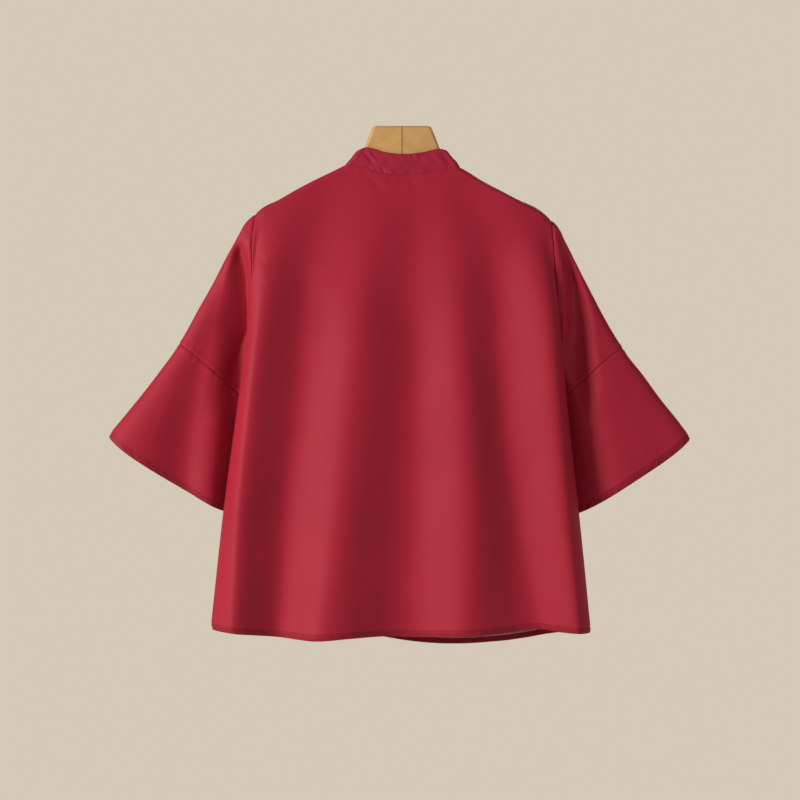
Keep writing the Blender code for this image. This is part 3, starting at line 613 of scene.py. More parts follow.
# Scales of the satin's weft and warp lines, for each metre of cloth, and of its cloudy colour, and the
# weft's share of that colour
WEFT_SCALE = (90, 1500, 1)
WARP_SCALE = (2600, 150, 1)
CLOUD_SCALE = 9.0
WEFT_SHARE = 0.35
# Slope of the grain in degrees, and the scales of fine and broad grain across and along an arm
GRAIN_SLOPE = 36
FINE_GRAIN = (46, 60, 900)
BROAD_GRAIN = (14, 20, 60)
# Depth of the relief of thread and of varnished grain, and of twisted sewing thread, in metres
GRAIN_HEIGHT = 0.0002
TWIST_HEIGHT = 0.0001


def satin_material(name, colour, light, dark, roughness, sheen, thread):
    """Satin woven cloth: fine weft lines, soft cloudy colour, sheen, and small slubs in the bump."""
    made, tree, shader = new_material(name, colour)
    uv = node(tree, "ShaderNodeUVMap", (("uv_map", "cloth"),)).outputs["UV"]
    weft = noise(tree, stretched(tree, uv, WEFT_SCALE), 1.0, 2.0, 0.6, flat=True)
    warp = noise(tree, stretched(tree, uv, WARP_SCALE), 1.0, 2.0, 0.6, flat=True)
    cloud = noise(tree, node(tree, "ShaderNodeTexCoord").outputs["Object"], CLOUD_SCALE, 3.0, 0.55)
    colours = ramp(tree, blend(tree, weft, cloud, WEFT_SHARE), 0.32, dark, 0.68, light)
    finish_shader(tree, shader, colours, spread(tree, warp, roughness - 0.04, roughness + 0.05),
                  reckon(tree, "ADD", weft, warp), thread, GRAIN_HEIGHT, Sheen_Weight=sheen,
                  Sheen_Roughness=0.45, Sheen_Tint=(1.0, 0.4, 0.5, 1), Specular_IOR_Level=0.22)
    return made


def wood_material(name, way):
    """Clear varnished honey wood with fine grain that climbs towards the joint; way is -1 left or 1 right."""
    made, tree, shader = new_material(name, (0.62, 0.36, 0.12))
    place = node(tree, "ShaderNodeTexCoord").outputs["Object"]
    slope = (0, math.radians(-GRAIN_SLOPE * way), 0)
    turned = node(tree, "ShaderNodeMapping", Vector=place, Rotation=slope).outputs[0]
    grain = noise(tree, stretched(tree, turned, FINE_GRAIN), 1.0, 3.0, 0.6, 0.3)
    broad = noise(tree, stretched(tree, turned, BROAD_GRAIN), 1.0, 2.0, 0.5)
    colours = ramp(tree, blend(tree, grain, broad, 0.5), 0.34, (0.545, 0.292, 0.094), 0.58,
                   (0.67, 0.385, 0.135))

    # The joint is a thin brown line
    parts = node(tree, "ShaderNodeSeparateXYZ", Vector=place)
    away = reckon(tree, "ABSOLUTE", parts.outputs["X"])
    joint = node(tree, "ShaderNodeMapRange", Value=away, From_Min=0.0004, From_Max=0.0011, To_Min=0.8,
                 To_Max=0.0)
    lined = node(tree, "ShaderNodeMixRGB", Fac=joint.outputs["Result"], Color1=colours,
                 Color2=(0.16, 0.062, 0.018, 1))
    finish_shader(tree, shader, lined.outputs["Color"], spread(tree, grain, 0.38, 0.52), grain, 0.2,
                  GRAIN_HEIGHT, Coat_Weight=0.12, Coat_Roughness=0.35)
    return made


def thread_material(name):
    """Twisted sewing thread, a little lighter and glossier than the cloth."""
    made, tree, shader = new_material(name, (0.4, 0.02, 0.04))
    twist = noise(tree, node(tree, "ShaderNodeTexCoord").outputs["Object"], 2600.0, 1.0, 0.5)
    colours = ramp(tree, twist, 0, (0.26, 0.009, 0.018), 1, (0.46, 0.022, 0.045))
    finish_shader(tree, shader, colours, 0.5, twist, 0.3, TWIST_HEIGHT, Sheen_Weight=0.2)
    return made


# Each satin: plain colour, light and dark of its cloudy colour, roughness, sheen, strength of the threads
satin = satin_material("red_satin", (0.40, 0.012, 0.03), (0.42, 0.0135, 0.0345), (0.365, 0.0112, 0.029),
                       0.6, 0.05, 0.35)
# The hem's satin is darker than the body's: painted shade of the curled, puckered hem band.
hem_shaded_satin = satin_material("hem_shaded_satin", (0.34, 0.0105, 0.027), (0.345, 0.0105, 0.027), (0.275, 0.0085, 0.021),
                           0.62, 0.05, 0.5)
collar_satin = satin_material("collar_satin", (0.36, 0.013, 0.034), (0.40, 0.0158, 0.045),
                              (0.325, 0.0118, 0.033), 0.55, 0.05, 0.35)
reverse = satin_material("satin_reverse", (0.6, 0.3, 0.3), (0.66, 0.42, 0.42), (0.58, 0.34, 0.34),
                         0.62, 0.10, 0.5)
sewing = thread_material("sewing_thread")


def column_shares(is_back, count):
    """Shares across a panel, closer together beside its side seams and beside the front's slit."""
    edge = np.array(EDGE_STEPS) / PANEL_WIDTH
    middle = np.linspace(edge[-1], 1 - edge[-1], count)
    shares = np.concatenate([edge[:-1], middle, 1 - edge[:-1][::-1]])
    if is_back:
        return shares
    beside = np.concatenate([np.array(SLIT_STEPS) / PANEL_WIDTH + SLIT_SHARE, [SLIT_SHARE]])
    apart = np.abs(shares - 0.5) > SLIT_STRIP / PANEL_WIDTH
    return np.sort(np.concatenate([shares[apart], 0.5 - beside, 0.5 + beside]))


def panel_below(count):
    """Distances under the top edge, at the side, of every row down to the hem's edge."""
    body = np.linspace(ROLL, SIDE_LENGTH - HEM_ROWS[0], count)[1:-1]
    return np.concatenate([ROLL_ROWS, body, SIDE_LENGTH - np.array(HEM_ROWS)])


# Creases of the back: from (x, drop) to (x, drop), width, depth
BACK_CREASES = (
    ("collar pull left", (-52, 62), (-20, 96), 5, -0.9),
    ("collar pull mid", (8, 66), (22, 90), 5, -0.6),
    ("blade left", (-150, 150), (-60, 260), 22, 0.9),
    ("blade right", (150, 160), (96, 300), 20, 0.8),
    ("armhole pucker a", (-200, 170), (-182, 186), 4, -0.8),
    ("armhole pucker b", (-201, 186), (-180, 196), 4, 0.7),
    ("armhole pucker c", (-201, 204), (-184, 214), 4, -0.6),
    ("armhole pucker d", (201, 176), (186, 190), 4, -0.6),
    ("armhole pucker e", (203, 196), (185, 208), 4, 0.5),
)
# Similar creases of the hidden front
FRONT_CREASES = (
    ("collar pull left", (-60, 108), (-40, 150), 6, -0.8),
    ("collar pull right", (64, 106), (44, 150), 6, -0.8),
    ("shoulder left", (-150, 120), (-110, 220), 18, 0.9),
    ("shoulder right", (150, 128), (112, 230), 18, -0.9),
    ("armhole pucker a", (-197, 176), (-180, 190), 4, -0.7),
    ("armhole pucker b", (198, 186), (182, 200), 4, -0.7),
)


def hem_relief(around, up, seed):
    """Turned hem: the cloth dips at the stitch line, curls under below it, and ropes between the stitches."""
    share = np.clip((STITCH_LINE + 1.2 - up) / STITCH_LINE, 0, 1.15)
    curl = -HEM_CURL * share ** 1.3
    roping = ripples(around + up * 0.8, up * 0.3, 6, 15, seed) + 0.7 * ripples(around, up, 6, 6.5, seed + 3)
    return curl - 0.5 * hump(up, 0.9, STITCH_LINE) + 0.42 * roping * grows(STITCH_LINE + 2 - up, 4)


def panel_grid(is_back):
    """Fine points of a panel with its creases, seams and hem relief."""
    surface = panel_surface(is_back, column_shares(is_back, BACK_COLUMNS if is_back else FRONT_COLUMNS))
    below = panel_below(BACK_BODY_ROWS if is_back else FRONT_BODY_ROWS)
    grid = np.array([surface(under) for under in below])
    normals = grid_normals(grid, 1 if is_back else -1)
    x = grid[..., 0]
    drop = -grid[..., 2]
    relief = crease_field(x, drop, BACK_CREASES if is_back else FRONT_CREASES)
    relief += 0.35 * ripples(x, drop * 0.35, 7, 120, 3 if is_back else 5)
    for seed, aside in ((11, lengths(grid, 1)), (12, lengths(grid[:, ::-1], 1)[:, ::-1])):
        pucker = ripples(drop, drop * 0, 5, 26, seed) * hump(aside, 9)
        relief += seam_relief(aside, *SIDE_SEAM) + 0.28 * pucker * grows(aside, 3)
    from_top = lengths(grid)
    gathers = ripples(x, x * 0, 5, 18, 21) * hump(from_top, 11) * grows(from_top, 3)
    in_neck = grows(np.minimum(x - NECK_LEFT, NECK_RIGHT - x), 8)
    relief += in_neck * (0.16 * gathers - 0.5 * hump(from_top, 1.6))
    relief += hem_relief(x, lengths(grid[::-1])[::-1], 31 if is_back else 32)
    return grid + normals * relief[..., None], normals, below


def build_panel(is_back):
    """Back or front of the body, with its turned hem; the front is cut at its centre slit."""
    name = "back" if is_back else "front"
    grid, normals, below = panel_grid(is_back)
    middle = grid.shape[1] // 2 - 1
    slit_rows = int(np.sum(below < SLIT_LENGTH))

    def in_slit(r, c):
        return c == middle and r < slit_rows

    if not is_back:
        grid[:slit_rows + 1, middle, 0] = SLIT_X - SLIT_HALF_WIDTH
        grid[:slit_rows + 1, middle + 1, 0] = SLIT_X + SLIT_HALF_WIDTH
    hem = turned_hem(grid, normals, (*PANEL_HEM_RISE, HEM_DEPTH if is_back else FRONT_HEM_DEPTH))
    panel = cloth_piece(name + "_cloth", np.concatenate([grid, hem]), 1 if is_back else -1,
                        skip=None if is_back else in_slit, hem_from=len(grid) - HEM_EDGE_ROWS)
    hem_line = at_height(grid, STITCH_LINE if is_back else FRONT_STITCH_LINE)
    return panel, stitch_row(name + "_hem_stitches", hem_line, normals[-4])


def stitch_row(name, line, normals, closed=False):
    """Machine stitches laid along a line of points, as small rounded grains of thread."""
    if closed:
        line = np.concatenate([line, line[:1]])
        normals = np.concatenate([normals, normals[:1]])
    along = lengths(line)
    count = int(along[-1] / STITCH_PITCH)
    centres = (np.arange(count) + 0.5) * along[-1] / count

    def at(table, place):
        return np.stack([np.interp(place, along, table[:, k]) for k in range(3)], axis=-1)

    middle = at(line, centres)
    ahead = unit(at(line, centres + 0.3) - at(line, centres - 0.3))
    out = unit(at(normals, centres))
    side = unit(np.cross(ahead, out))
    verts = []
    faces = []
    for k in range(count):
        base = len(verts)
        for share, wide in STITCH_PROFILE:
            centre = middle[k] + ahead[k] * share * STITCH_LENGTH
            lift = out[k] * STITCH_THICK * (0.55 * wide - 0.25)
            for s in range(STITCH_SIDES):
                turn = 2 * math.pi * s / STITCH_SIDES
                around = side[k] * math.cos(turn) + out[k] * math.sin(turn)
                verts.append(centre + around * STITCH_THICK * 0.5 * max(wide, 0.15) + lift)
        for r in range(base, base + (len(STITCH_PROFILE) - 1) * STITCH_SIDES, STITCH_SIDES):
            for s in range(STITCH_SIDES):
                n = (s + 1) % STITCH_SIDES
                faces.append((r + s, r + n, r + STITCH_SIDES + n, r + STITCH_SIDES + s))
    return new_mesh(name, verts, faces, [sewing])


def tuck_depth(tuck, places):
    """Depth of the tuck at places (x, drop), on a half wave to each side of its valley."""
    rows = smooth_through([row[0] for row in tuck], np.array([row[1:] for row in tuck], float), places[:, 1])
    valley, depth, outward, inward = rows.T
    aside = (places[:, 0] - valley) * np.sign(valley)
    share = np.minimum(1, np.abs(aside) / np.where(aside > 0, outward, inward))
    return depth * (1 + np.cos(math.pi * share)) / 2


def sleeve_free(sleeve, is_back, t, station):
    """Points of the freely hanging sleeve; t runs from its outer to its inner edge."""
    outer = smooth_through([p[0] for p in sleeve["outer"]], [p[1:] for p in sleeve["outer"]], station)
    inner = smooth_through([p[0] for p in sleeve["inner"]], [p[1:] for p in sleeve["inner"]], station)
    chord = inner - outer
    way = np.array((-chord[1], chord[0])) / np.linalg.norm(chord)
    if way[1] < 0:
        way = -way
    bow = smooth_through(SLEEVE_STATIONS, SLEEVE_BOW, station) * (1 - (2 * t - 1) ** 4)
    flat = outer + chord * t[:, None] + way * bow[:, None]
    mid_outer = smooth_through(SLEEVE_STATIONS, SLEEVE_MID_OUTER, station)
    mid_inner = smooth_through(SLEEVE_STATIONS, SLEEVE_MID_INNER, station)
    mid = mid_outer + (mid_inner - mid_outer) * t
    folds = sleeve["back folds"] if is_back else SLEEVE_FRONT_FOLDS
    keys = [0.0] + [float(smooth_through(SLEEVE_STATIONS, fold[1], station)) for fold in folds] + [1.0]
    depths = [float(smooth_through(SLEEVE_STATIONS, fold[2], station)) for fold in folds]
    depths = [depths[0], *depths, depths[-1]]
    round_off = np.sqrt(np.maximum(0, 1 - np.abs(2 * t - 1) ** SLEEVE_EDGE_POWER))
    deep = smooth_through(keys, depths, t) * round_off
    if is_back:
        starts = min(1.0, station / TUCK_STARTS) * grows(t, TUCK_EDGE)
        deep = deep - tuck_depth(sleeve["tuck"], flat) * starts * grows(1 - t, TUCK_LAST)
    return np.stack([flat[:, 0], mid - deep if is_back else mid + deep, -flat[:, 1]], axis=1)


def armhole_edges(is_left, is_back, t):
    """Points just past the body's armhole edge, in line with the panel, at shares down the armhole."""
    depth = LEFT_SIDE[0][1] - LEFT_ARMHOLE[0][1]
    surface = panel_surface(is_back, np.array(LEFT_EDGE_SHARES if is_left else RIGHT_EDGE_SHARES))
    ends = np.array([surface(under) for under in t * depth])
    edge, inside = (ends[:, 0], ends[:, 1]) if is_left else (ends[:, 1], ends[:, 0])
    way = edge - inside
    way[:, 2] = 0
    way = unit(way)
    if is_back:
        turned = np.stack([-way[:, 1], way[:, 0], way[:, 2]], axis=1)
        outward = turned if is_left else -turned
        fold = grows(t - FOLD_FROM, FOLD_TO - FOLD_FROM)[:, None]
        way = way * (1 - fold) + outward * fold * FOLD_CLEAR
    return edge + way * SEAM_GAP


def ring_shares():
    """Shares down one side of a sleeve's ring, closer together at its ends."""
    eased = (1 - np.cos(np.linspace(0, math.pi, RING_SIDE + 1))) / 2
    return 0.5 * eased + 0.5 * np.linspace(0, 1, RING_SIDE + 1)


def sleeve_rows(sleeve, is_left, stations):
    """Rings of sleeve points at the stations, easing from the armhole into the free sleeve."""
    t = ring_shares()
    edges = {is_back: armhole_edges(is_left, is_back, t) for is_back in (True, False)}
    for end in (0, -1):
        joined = (edges[True][end] + edges[False][end]) / 2
        edges[True][end] = joined
        edges[False][end] = joined
    rows = []
    for station in stations:
        share = min(1.0, station / SLEEVE_BLEND)
        keep = 1 - share * share * (3 - 2 * share)
        ring = []
        for is_back in (True, False):
            joined = edges[is_back] - sleeve_free(sleeve, is_back, t, 0.0)
            ring.append(sleeve_free(sleeve, is_back, t, station) + keep * joined)
        rows.append(np.concatenate([ring[0], ring[1][-2:0:-1]]))
    return np.array(rows)


def sleeve_relief(grid, normals, is_upper, seed):
    """Seam grooves, small puckers and unevenness of one part of a sleeve."""
    from_start = lengths(grid)
    to_end = from_start[-1:] - from_start
    around = np.broadcast_to(lengths(grid[0]), from_start.shape)
    relief = 0.3 * ripples(grid[..., 0], -grid[..., 2], 7, 90, seed)
    relief += seam_relief(from_start, *ARMHOLE_SEAM)
    pucker = ripples(around, around * 0, 6, 22, seed + 1)
    relief += 0.3 * pucker * hump(from_start, 10) * grows(from_start, 3)
    if is_upper:
        relief += seam_relief(to_end, *FLOUNCE_SEAM)
        relief += 0.25 * pucker * hump(to_end, 9) * grows(to_end, 3)
    else:
        relief += hem_relief(around, to_end, seed + 2)
    return grid + normals * relief[..., None]


def seam_allowance(grid, normals):
    """Rows that carry the sleeve's cloth inside the armhole seam; they shrink away towards the armpit."""
    back = unit(grid[0] - grid[2])
    above = grid[0, :, 2] - grid[0, :, 2].min()
    keep = np.clip(above / ALLOWANCE_FADE, ALLOWANCE_LEAST, 1)[:, None]
    return np.array([grid[0] + (back * reach - normals[0] * under) * keep for reach, under in ALLOWANCE])


def sleeve_part(sleeve, is_left, stations, seed):
    """Fine points of the upper sleeve or the flounce, with the normals of the plain cloth."""
    first, (start, end, count), last = stations
    plain = sleeve_rows(sleeve, is_left, np.concatenate([first, np.linspace(start, end, count), last]))
    normals = grid_normals(plain, 1 if is_left else -1, True)
    return sleeve_relief(plain, normals, stations is UPPER_STATIONS, seed), normals


def build_sleeve(side, is_left, sleeve):
    """Upper sleeve and flounce of one side."""
    outward = 1 if is_left else -1
    seed = 41 if is_left else 51
    upper, normals = sleeve_part(sleeve, is_left, UPPER_STATIONS, seed)
    upper = np.concatenate([seam_allowance(upper, normals), upper])
    flounce, normals = sleeve_part(sleeve, is_left, FLOUNCE_STATIONS, seed + 5)
    hem = turned_hem(flounce, normals, (*SLEEVE_HEM_RISE, HEM_DEPTH))
    hem_line = at_height(flounce, STITCH_LINE)
    stitches = stitch_row("sleeve_hem_stitches_" + side, hem_line, normals[-6], closed=True)
    upper_piece = cloth_piece("upper_sleeve_cloth_" + side, upper, outward, closed=True)
    flounce_piece = cloth_piece("flounce_cloth_" + side, np.concatenate([flounce, hem]), outward, closed=True,
                                hem_from=len(flounce) - HEM_EDGE_ROWS)
    return upper_piece, flounce_piece, stitches


# Wrinkles of the collar's back: from (x, drop) to (x, drop), width, depth
COLLAR_CREASES = (
    ("left diagonal", (-56, 33), (-37, 50), 2.2, -1.7),
    ("left diagonal low", (-50, 42), (-33, 56), 1.9, -1.2),
    ("left diagonal lip", (-50, 31), (-31, 50), 2.0, 1.1),
    ("left dart", (-44, 33), (-34, 44), 1.5, -1.0),
    ("seam pucker a", (-38, 56), (-30, 66), 1.6, -0.9),
    ("seam pucker b", (-29, 56), (-21, 67), 1.5, -0.8),
    ("seam pucker c", (-18, 58), (-11, 67), 1.6, 0.7),
    ("mid dimple", (11, 38), (18, 47), 1.7, -1.0),
    ("mid dimple lip", (17, 38), (23, 46), 1.7, 0.6),
    ("mid low", (0, 54), (18, 61), 2.2, -0.6),
    ("right dip", (50, 34), (70, 54), 3.6, -1.2),
    ("right lip", (42, 36), (60, 56), 3.4, 0.8),
)
# Rows down the collar, least distance between its columns, and steps in degrees of its pressed top edge
COLLAR_ROWS = 26
COLLAR_LEAST_STEP = 0.25
COLLAR_TOP_TURN = (160, 130, 100, 75, 50, 25)


def collar_top(is_back, seam):
    """Points of the collar's top edge above points of its seam."""
    left, right = COLLAR_TOP_BACK[0], COLLAR_TOP_BACK[-1]
    share = (seam[:, 0] - NECK_LEFT) / (NECK_RIGHT - NECK_LEFT)
    x = left[0] + share * (right[0] - left[0])
    if is_back:
        drop = line_through(COLLAR_TOP_BACK, x)
        y = rolled(-COLLAR_BACK_AWAY, np.minimum(x - left[0], right[0] - x) / COLLAR_TOP_ROLL)
    else:
        drop = line_through(COLLAR_TOP_FRONT, x)
        side_drop = np.where(x < 0, left[1], right[1])
        y = rolled(COLLAR_TOP_FRONT_AWAY, (drop - side_drop) / COLLAR_TOP_ROLL)
    return np.stack([x, y, -drop], axis=1)


def neck_seam(is_back):
    """The neckline's points on a panel's top edge, left to right."""
    points = panel_surface(is_back, column_shares(is_back, NECK_COLUMNS))(0.0)
    return points[(points[:, 0] >= NECK_LEFT) & (points[:, 0] <= NECK_RIGHT)]


def collar_band():
    """Points of the doubled band from one end round to the other: up inside, over its top and down."""
    front = neck_seam(False)
    back = neck_seam(True)[::-1]
    right_front = front[front[:, 0] > SLIT_X + COLLAR_END_GAP / 2]
    left_front = front[front[:, 0] < SLIT_X - COLLAR_END_GAP / 2]
    seam = np.concatenate([right_front, back, left_front])
    top = np.concatenate([collar_top(False, right_front), collar_top(True, back),
                          collar_top(False, left_front)])
    keep = np.concatenate([[True], np.linalg.norm(np.diff(seam, axis=0), axis=1) > COLLAR_LEAST_STEP])
    seam = seam[keep]
    top = top[keep]
    grid = np.array([top + (seam - top) * share for share in np.linspace(0, 1, COLLAR_ROWS)])
    normals = grid_normals(grid, -1)
    x = grid[..., 0]
    drop = -grid[..., 2]
    to_seam = np.linalg.norm(grid - grid[-1:], axis=2)
    relief = crease_field(x, drop, COLLAR_CREASES) * (normals[..., 1] < 0)
    relief += 0.3 * ripples(x, drop, 7, 34, 71)
    relief -= 0.5 * hump(to_seam, 1.4)
    relief += 0.14 * ripples(x, drop, 6, 19, 72) * hump(to_seam, 6)
    outer = grid + normals * relief[..., None]
    inner = grid - normals * COLLAR_THICK
    half = COLLAR_THICK / 2
    up = unit(grid[0] - grid[2])
    rounds = []
    for turn in np.radians(COLLAR_TOP_TURN):
        rounds.append(grid[0] - normals[0] * half + normals[0] * half * math.cos(turn)
                      + up * half * math.sin(turn) - up * half * 0.6)
    return np.concatenate([inner[::-1], np.array(rounds), outer])


def build_collar():
    """Stand collar: a doubled band, pressed over at its top and closed along its seam."""
    band = collar_band()
    rows, width = band.shape[:2]
    faces = grid_faces(rows, width, False, -1)
    faces += [tuple(r * width + c for r, c in quad) for quad in collar_ends(rows, width)]
    return new_mesh("collar_cloth", band.reshape(-1, 3), faces, [collar_satin], cloth_uvs(band))


def collar_ends(rows, width):
    """Quads that close the band along its seam and at its two ends."""
    quads = []
    for c in range(width - 1):
        quads.append(((rows - 1, c), (0, c), (0, c + 1), (rows - 1, c + 1)))
    for c, turn in ((0, 1), (width - 1, -1)):
        for k in range(COLLAR_ROWS - 1):
            quad = ((k, c), (k + 1, c), (rows - 2 - k, c), (rows - 1 - k, c))
            quads.append(quad[::turn])
    return quads


# Hanger: its thickness and rounded edge, half the gap at its joint, and its outline as x and drop: the
# neck, the arm's top at even steps under the shoulder line, the arm's end and its underside
HANGER_HALF_THICKNESS = 6.0
HANGER_ROUNDING = 4.6
HANGER_CUT = 0.03
HANGER_NECK = ((-7, 0), (33, 0), (36.6, 0.5), (39, 1.9), (40.6, 4.2), (41.8, 7), (51, 30), (57, 42))
HANGER_TOP_FROM = 64.0
HANGER_TOP_TO = 176.0
HANGER_TOP_STEP = 8.0
HANGER_CLEAR = 1.8
HANGER_END = ((182, 116.6), (185.5, 119.5), (186.8, 123.5), (185.6, 128), (182, 131.4), (176, 132.2))
HANGER_UNDERSIDE = ((160, 129), (140, 122.5), (120, 115), (100, 107), (80, 99), (62, 92.5), (45, 87),
                    (32, 83), (20, 80), (10, 77.8), (0, 77), (-7, 77))


def build_hanger(side, name, finish):
    """One flat wooden arm with rounded edges, cut square at the centre."""
    outline = [(side * x, -drop) for x, drop in HANGER_NECK]
    steps = int((HANGER_TOP_TO - HANGER_TOP_FROM) / HANGER_TOP_STEP) + 1
    ridge = [pair for pair in RIDGE if (pair[0] < 0) == (side < 0)]
    for k in range(steps):
        x = side * (HANGER_TOP_FROM + k * HANGER_TOP_STEP)
        outline.append((x, -(float(line_through(ridge, x)) + HANGER_CLEAR)))
    outline += [(side * x, -drop) for x, drop in HANGER_END + HANGER_UNDERSIDE]
    curve = bpy.data.curves.new(name, "CURVE")
    curve.dimensions = "2D"
    curve.fill_mode = "BOTH"
    curve.extrude = (HANGER_HALF_THICKNESS - HANGER_ROUNDING) * MM
    curve.bevel_depth = HANGER_ROUNDING * MM
    curve.bevel_resolution = 5
    curve.offset = -HANGER_ROUNDING * MM
    spline = curve.splines.new("POLY")
    spline.points.add(len(outline) - 1)
    for point, (x, z) in zip(spline.points, outline):
        point.co = (x * MM, z * MM, 0, 1)
    spline.use_cyclic_u = True
    guide = bpy.data.objects.new(name + "_outline", curve)
    bpy.context.scene.collection.objects.link(guide)
    bpy.context.view_layer.update()
    mesh = bpy.data.meshes.new_from_object(guide.evaluated_get(bpy.context.evaluated_depsgraph_get()))
    bpy.data.objects.remove(guide)
    cut_at_joint(mesh, side)
    for vertex in mesh.vertices:
        vertex.co = (vertex.co[0], -vertex.co[2], vertex.co[1])
    mesh.materials.clear()
    mesh.materials.append(finish)
    mesh.shade_smooth()
    mesh.set_sharp_from_angle(angle=math.radians(40))
    arm = bpy.data.objects.new(name, mesh)
    bpy.context.scene.collection.objects.link(arm)
    return arm


def cut_at_joint(mesh, side):
    """Cut an arm off square at the joint and close the cut."""
    work = bmesh.new()
    work.from_mesh(mesh)
    bmesh.ops.remove_doubles(work, verts=work.verts[:], dist=1e-6)
    whole = work.verts[:] + work.edges[:] + work.faces[:]
    joint = (side * HANGER_CUT * MM, 0, 0)
    cut = bmesh.ops.bisect_plane(work, geom=whole, plane_co=joint, plane_no=(side, 0, 0), clear_inner=True)
    rim = [part for part in cut["geom_cut"] if isinstance(part, bmesh.types.BMEdge)]
    bmesh.ops.holes_fill(work, edges=rim, sides=0)
    bmesh.ops.recalc_face_normals(work, faces=work.faces[:])
    work.to_mesh(mesh)
    work.free()


# Button and its thread loop. The button's profile runs from its face to its back, as shares of its
# radius and of half its thickness. The loop goes round the button by an angle to each side.
BUTTON_X = 8.0
BUTTON_STAND = 0.75
BUTTON_DROP = 117.0
BUTTON_RADIUS = 4.5
BUTTON_THICKNESS = 2.4
BUTTON_PROFILE = ((0.01, 1.0), (0.35, 0.98), (0.62, 0.9), (0.82, 0.72), (0.95, 0.45), (1.0, 0.1), (1.0, -0.5),
                  (0.94, -0.85), (0.8, -1.0), (0.01, -1.0))
BUTTON_SIDES = 48
LOOP_RADIUS = 5.5
LOOP_THREAD = 0.6
LOOP_LEFT_X = -6.0
LOOP_ANGLE = 130
LOOP_POINTS = 32


def collar_front_face(drop):
    """Depth of the collar's outer face beside its front opening."""
    shares = np.array((0.5 - SLIT_SHARE, 0.5 + SLIT_SHARE))
    seam = panel_surface(False, shares)(0.0)[1:]
    top = collar_top(False, seam)
    share = (seam[0, 2] + drop) / (seam[0, 2] - top[0, 2])
    return seam[0, 1] + (top[0, 1] - seam[0, 1]) * share


def build_button(face):
    """Cloth covered button in front of the collar's face: a turned profile with a crowned face."""
    middle = face + BUTTON_STAND + BUTTON_THICKNESS / 2
    verts = []
    for share, lift in BUTTON_PROFILE:
        for s in range(BUTTON_SIDES):
            turn = 2 * math.pi * s / BUTTON_SIDES
            radius = BUTTON_RADIUS * share
            verts.append((BUTTON_X + radius * math.cos(turn), middle + lift * BUTTON_THICKNESS / 2,
                          -BUTTON_DROP + radius * math.sin(turn)))
    uvs = np.array([(vert[0] * MM, vert[2] * MM) for vert in verts])
    faces = grid_faces(len(BUTTON_PROFILE), BUTTON_SIDES, True, 1)
    return new_mesh("covered_button", verts, faces, [collar_satin], uvs)


def build_loop(face):
    """Thread loop that leaves the collar's other end and goes round the button."""
    depth = face + LOOP_THREAD + BUTTON_STAND
    points = [(LOOP_LEFT_X, BUTTON_DROP + LOOP_RADIUS / 2)]
    for k in range(LOOP_POINTS + 1):
        turn = math.radians(2 * LOOP_ANGLE * k / LOOP_POINTS - LOOP_ANGLE)
        points.append((BUTTON_X + LOOP_RADIUS * math.cos(turn), BUTTON_DROP - LOOP_RADIUS * math.sin(turn)))
    points.append((LOOP_LEFT_X, BUTTON_DROP - LOOP_RADIUS / 2))
    curve = bpy.data.curves.new("loop", "CURVE")
    curve.dimensions = "3D"
    curve.bevel_depth = LOOP_THREAD * MM
    curve.bevel_resolution = 3
    curve.use_fill_caps = True
    spline = curve.splines.new("POLY")
    spline.points.add(len(points) - 1)
    for point, (x, drop) in zip(spline.points, points):
        point.co = (x * MM, depth * MM, -drop * MM, 1)
    curve.materials.append(sewing)
    loop = bpy.data.objects.new("button_thread_loop", curve)
    bpy.context.scene.collection.objects.link(loop)
    return loop


# Floor and lights, in metres. The camera sees a bright pale surround, and the cloth is lit by a dim one.
# Each light: name, place, size, power in watts, colour. All look at the middle of the garment.
FLOOR_REACH = 3.0
FLOOR_LEVEL = -1.5
SURROUND_SEEN = (0.66, 0.585, 0.475, 1)
SURROUND_LIGHT = (0.60, 0.57, 0.58, 1)
SURROUND_STRENGTH = 0.44
GARMENT_MIDDLE = (0, 0, -0.37)
LIGHTS = (
    ("key", (-3.2, -1.95, 0.45), 1.2, 126, (1, 0.96, 0.96)),
    ("right fill", (3.0, -2.4, 0.0), 2.0, 14, (1, 0.96, 0.97)),
    ("front fill", (0.9, 3.5, 1.0), 1.6, 45, (1, 0.98, 0.96)),
)


def build_stage():
    """Pale floor far below the hanging garment."""
    ways = ((-1, -1), (1, -1), (1, 1), (-1, 1))
    corners = [(x * FLOOR_REACH, y * FLOOR_REACH, FLOOR_LEVEL) for x, y in ways]
    finish, _, shader = new_material("pale_floor", (0.7, 0.65, 0.57))
    shader.inputs["Base Color"].default_value = (0.70, 0.64, 0.56, 1)
    shader.inputs["Roughness"].default_value = 0.8
    floor = new_mesh("floor", np.array(corners) / MM, [(0, 1, 2, 3)], [finish])


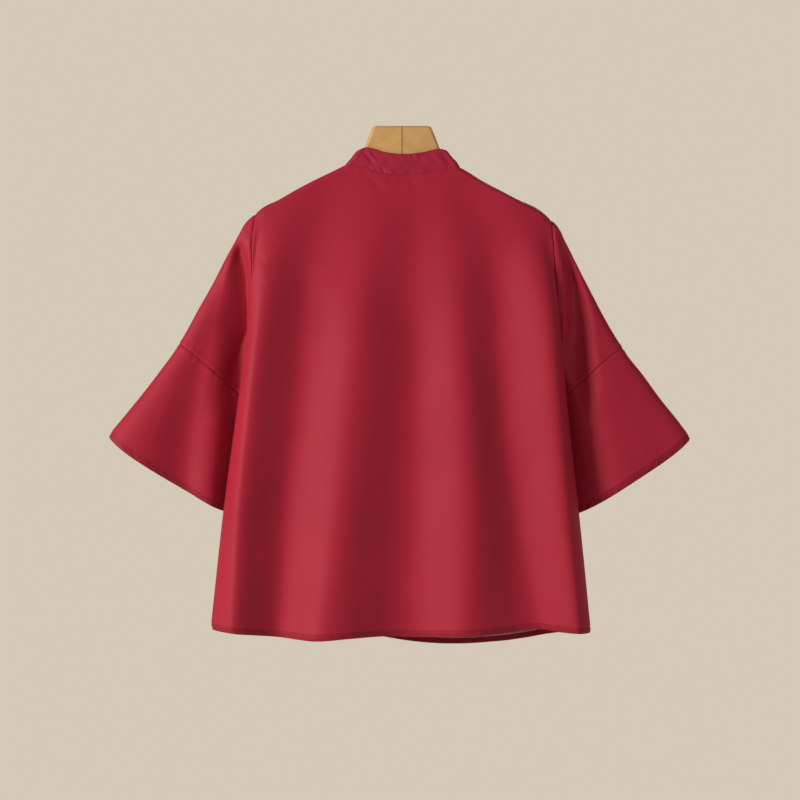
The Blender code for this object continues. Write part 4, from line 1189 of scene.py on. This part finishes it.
def build_light():
    """Soft key from the left of the garment's back, two dimmer fills, and a pale even surround."""
    world = bpy.data.worlds.new("studio")
    bpy.context.scene.world = world
    world.use_nodes = True
    tree = world.node_tree
    tree.nodes.clear()
    path = node(tree, "ShaderNodeLightPath")
    mix = node(tree, "ShaderNodeMixShader", Fac=path.outputs["Is Camera Ray"])
    fill = node(tree, "ShaderNodeBackground", Color=SURROUND_LIGHT, Strength=SURROUND_STRENGTH)
    seen = node(tree, "ShaderNodeBackground", Color=SURROUND_SEEN, Strength=1.0)
    tree.links.new(fill.outputs[0], mix.inputs[1])
    tree.links.new(seen.outputs[0], mix.inputs[2])
    node(tree, "ShaderNodeOutputWorld", Surface=mix.outputs[0])
    for name, place, size, power, colour in LIGHTS:
        data = bpy.data.lights.new(name, "AREA")
        data.energy = power
        data.color = colour
        data.size = size
        light = bpy.data.objects.new(name, data)
        light.location = place
        light.rotation_euler = direction_angles(np.array(GARMENT_MIDDLE) - np.array(place))
        bpy.context.scene.collection.objects.link(light)


def direction_angles(aim):
    """Angles that turn a light, which looks along its own -Z, along a direction."""
    x, y, z = aim / np.linalg.norm(aim)
    return (math.acos(-z), 0, math.atan2(y, x) - math.pi / 2)


def build_camera():
    """Camera level with the garment's middle, far away, in the photograph's frame."""
    data = bpy.data.cameras.new("camera")
    data.sensor_width = SENSOR
    data.lens = SENSOR * CAMERA_AWAY / FRAME_WIDTH
    data.clip_end = 100
    camera = bpy.data.objects.new("camera", data)
    camera.location = (CAMERA_X * MM, -CAMERA_AWAY * MM, -CAMERA_DROP * MM)
    camera.rotation_euler = (math.pi / 2, 0, 0)
    bpy.context.scene.collection.objects.link(camera)
    bpy.context.scene.camera = camera


def stand_in(piece, cad):
    """Puts a piece on the one body and hides its solid."""
    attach(piece, "root")
    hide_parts(cad)


def dress():
    for side, way in (("left", -1), ("right", 1)):
        arm = build_hanger(way, "hanger_arm_" + side, wood_material("honey_wood_" + side, way))
        stand_in(arm, "hanger_" + side)

    for is_back, cad, flat, area in ((True, "back_panel", (0.56, 0.65), 0.31),
                                     (False, "front_panel", (0.52, 0.65), 0.29)):
        panel, stitches = build_panel(is_back)
        stand_in(panel, cad)
        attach(stitches, "root")

    for side, is_left, sleeve in (("left", True, SLEEVE_LEFT), ("right", False, SLEEVE_RIGHT)):
        upper, flounce, stitches = build_sleeve(side, is_left, sleeve)
        stand_in(upper, "upper_sleeve_" + side)
        stand_in(flounce, "sleeve_flounce_" + side)
        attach(stitches, "root")

    collar = build_collar()
    stand_in(collar, "stand_collar")

    face = collar_front_face(BUTTON_DROP)
    stand_in(build_button(face), "collar_button")
    stand_in(build_loop(face), "button_loop")


dress()
build_stage()
build_light()
build_camera()
bpy.context.scene.view_settings.view_transform = "Standard"
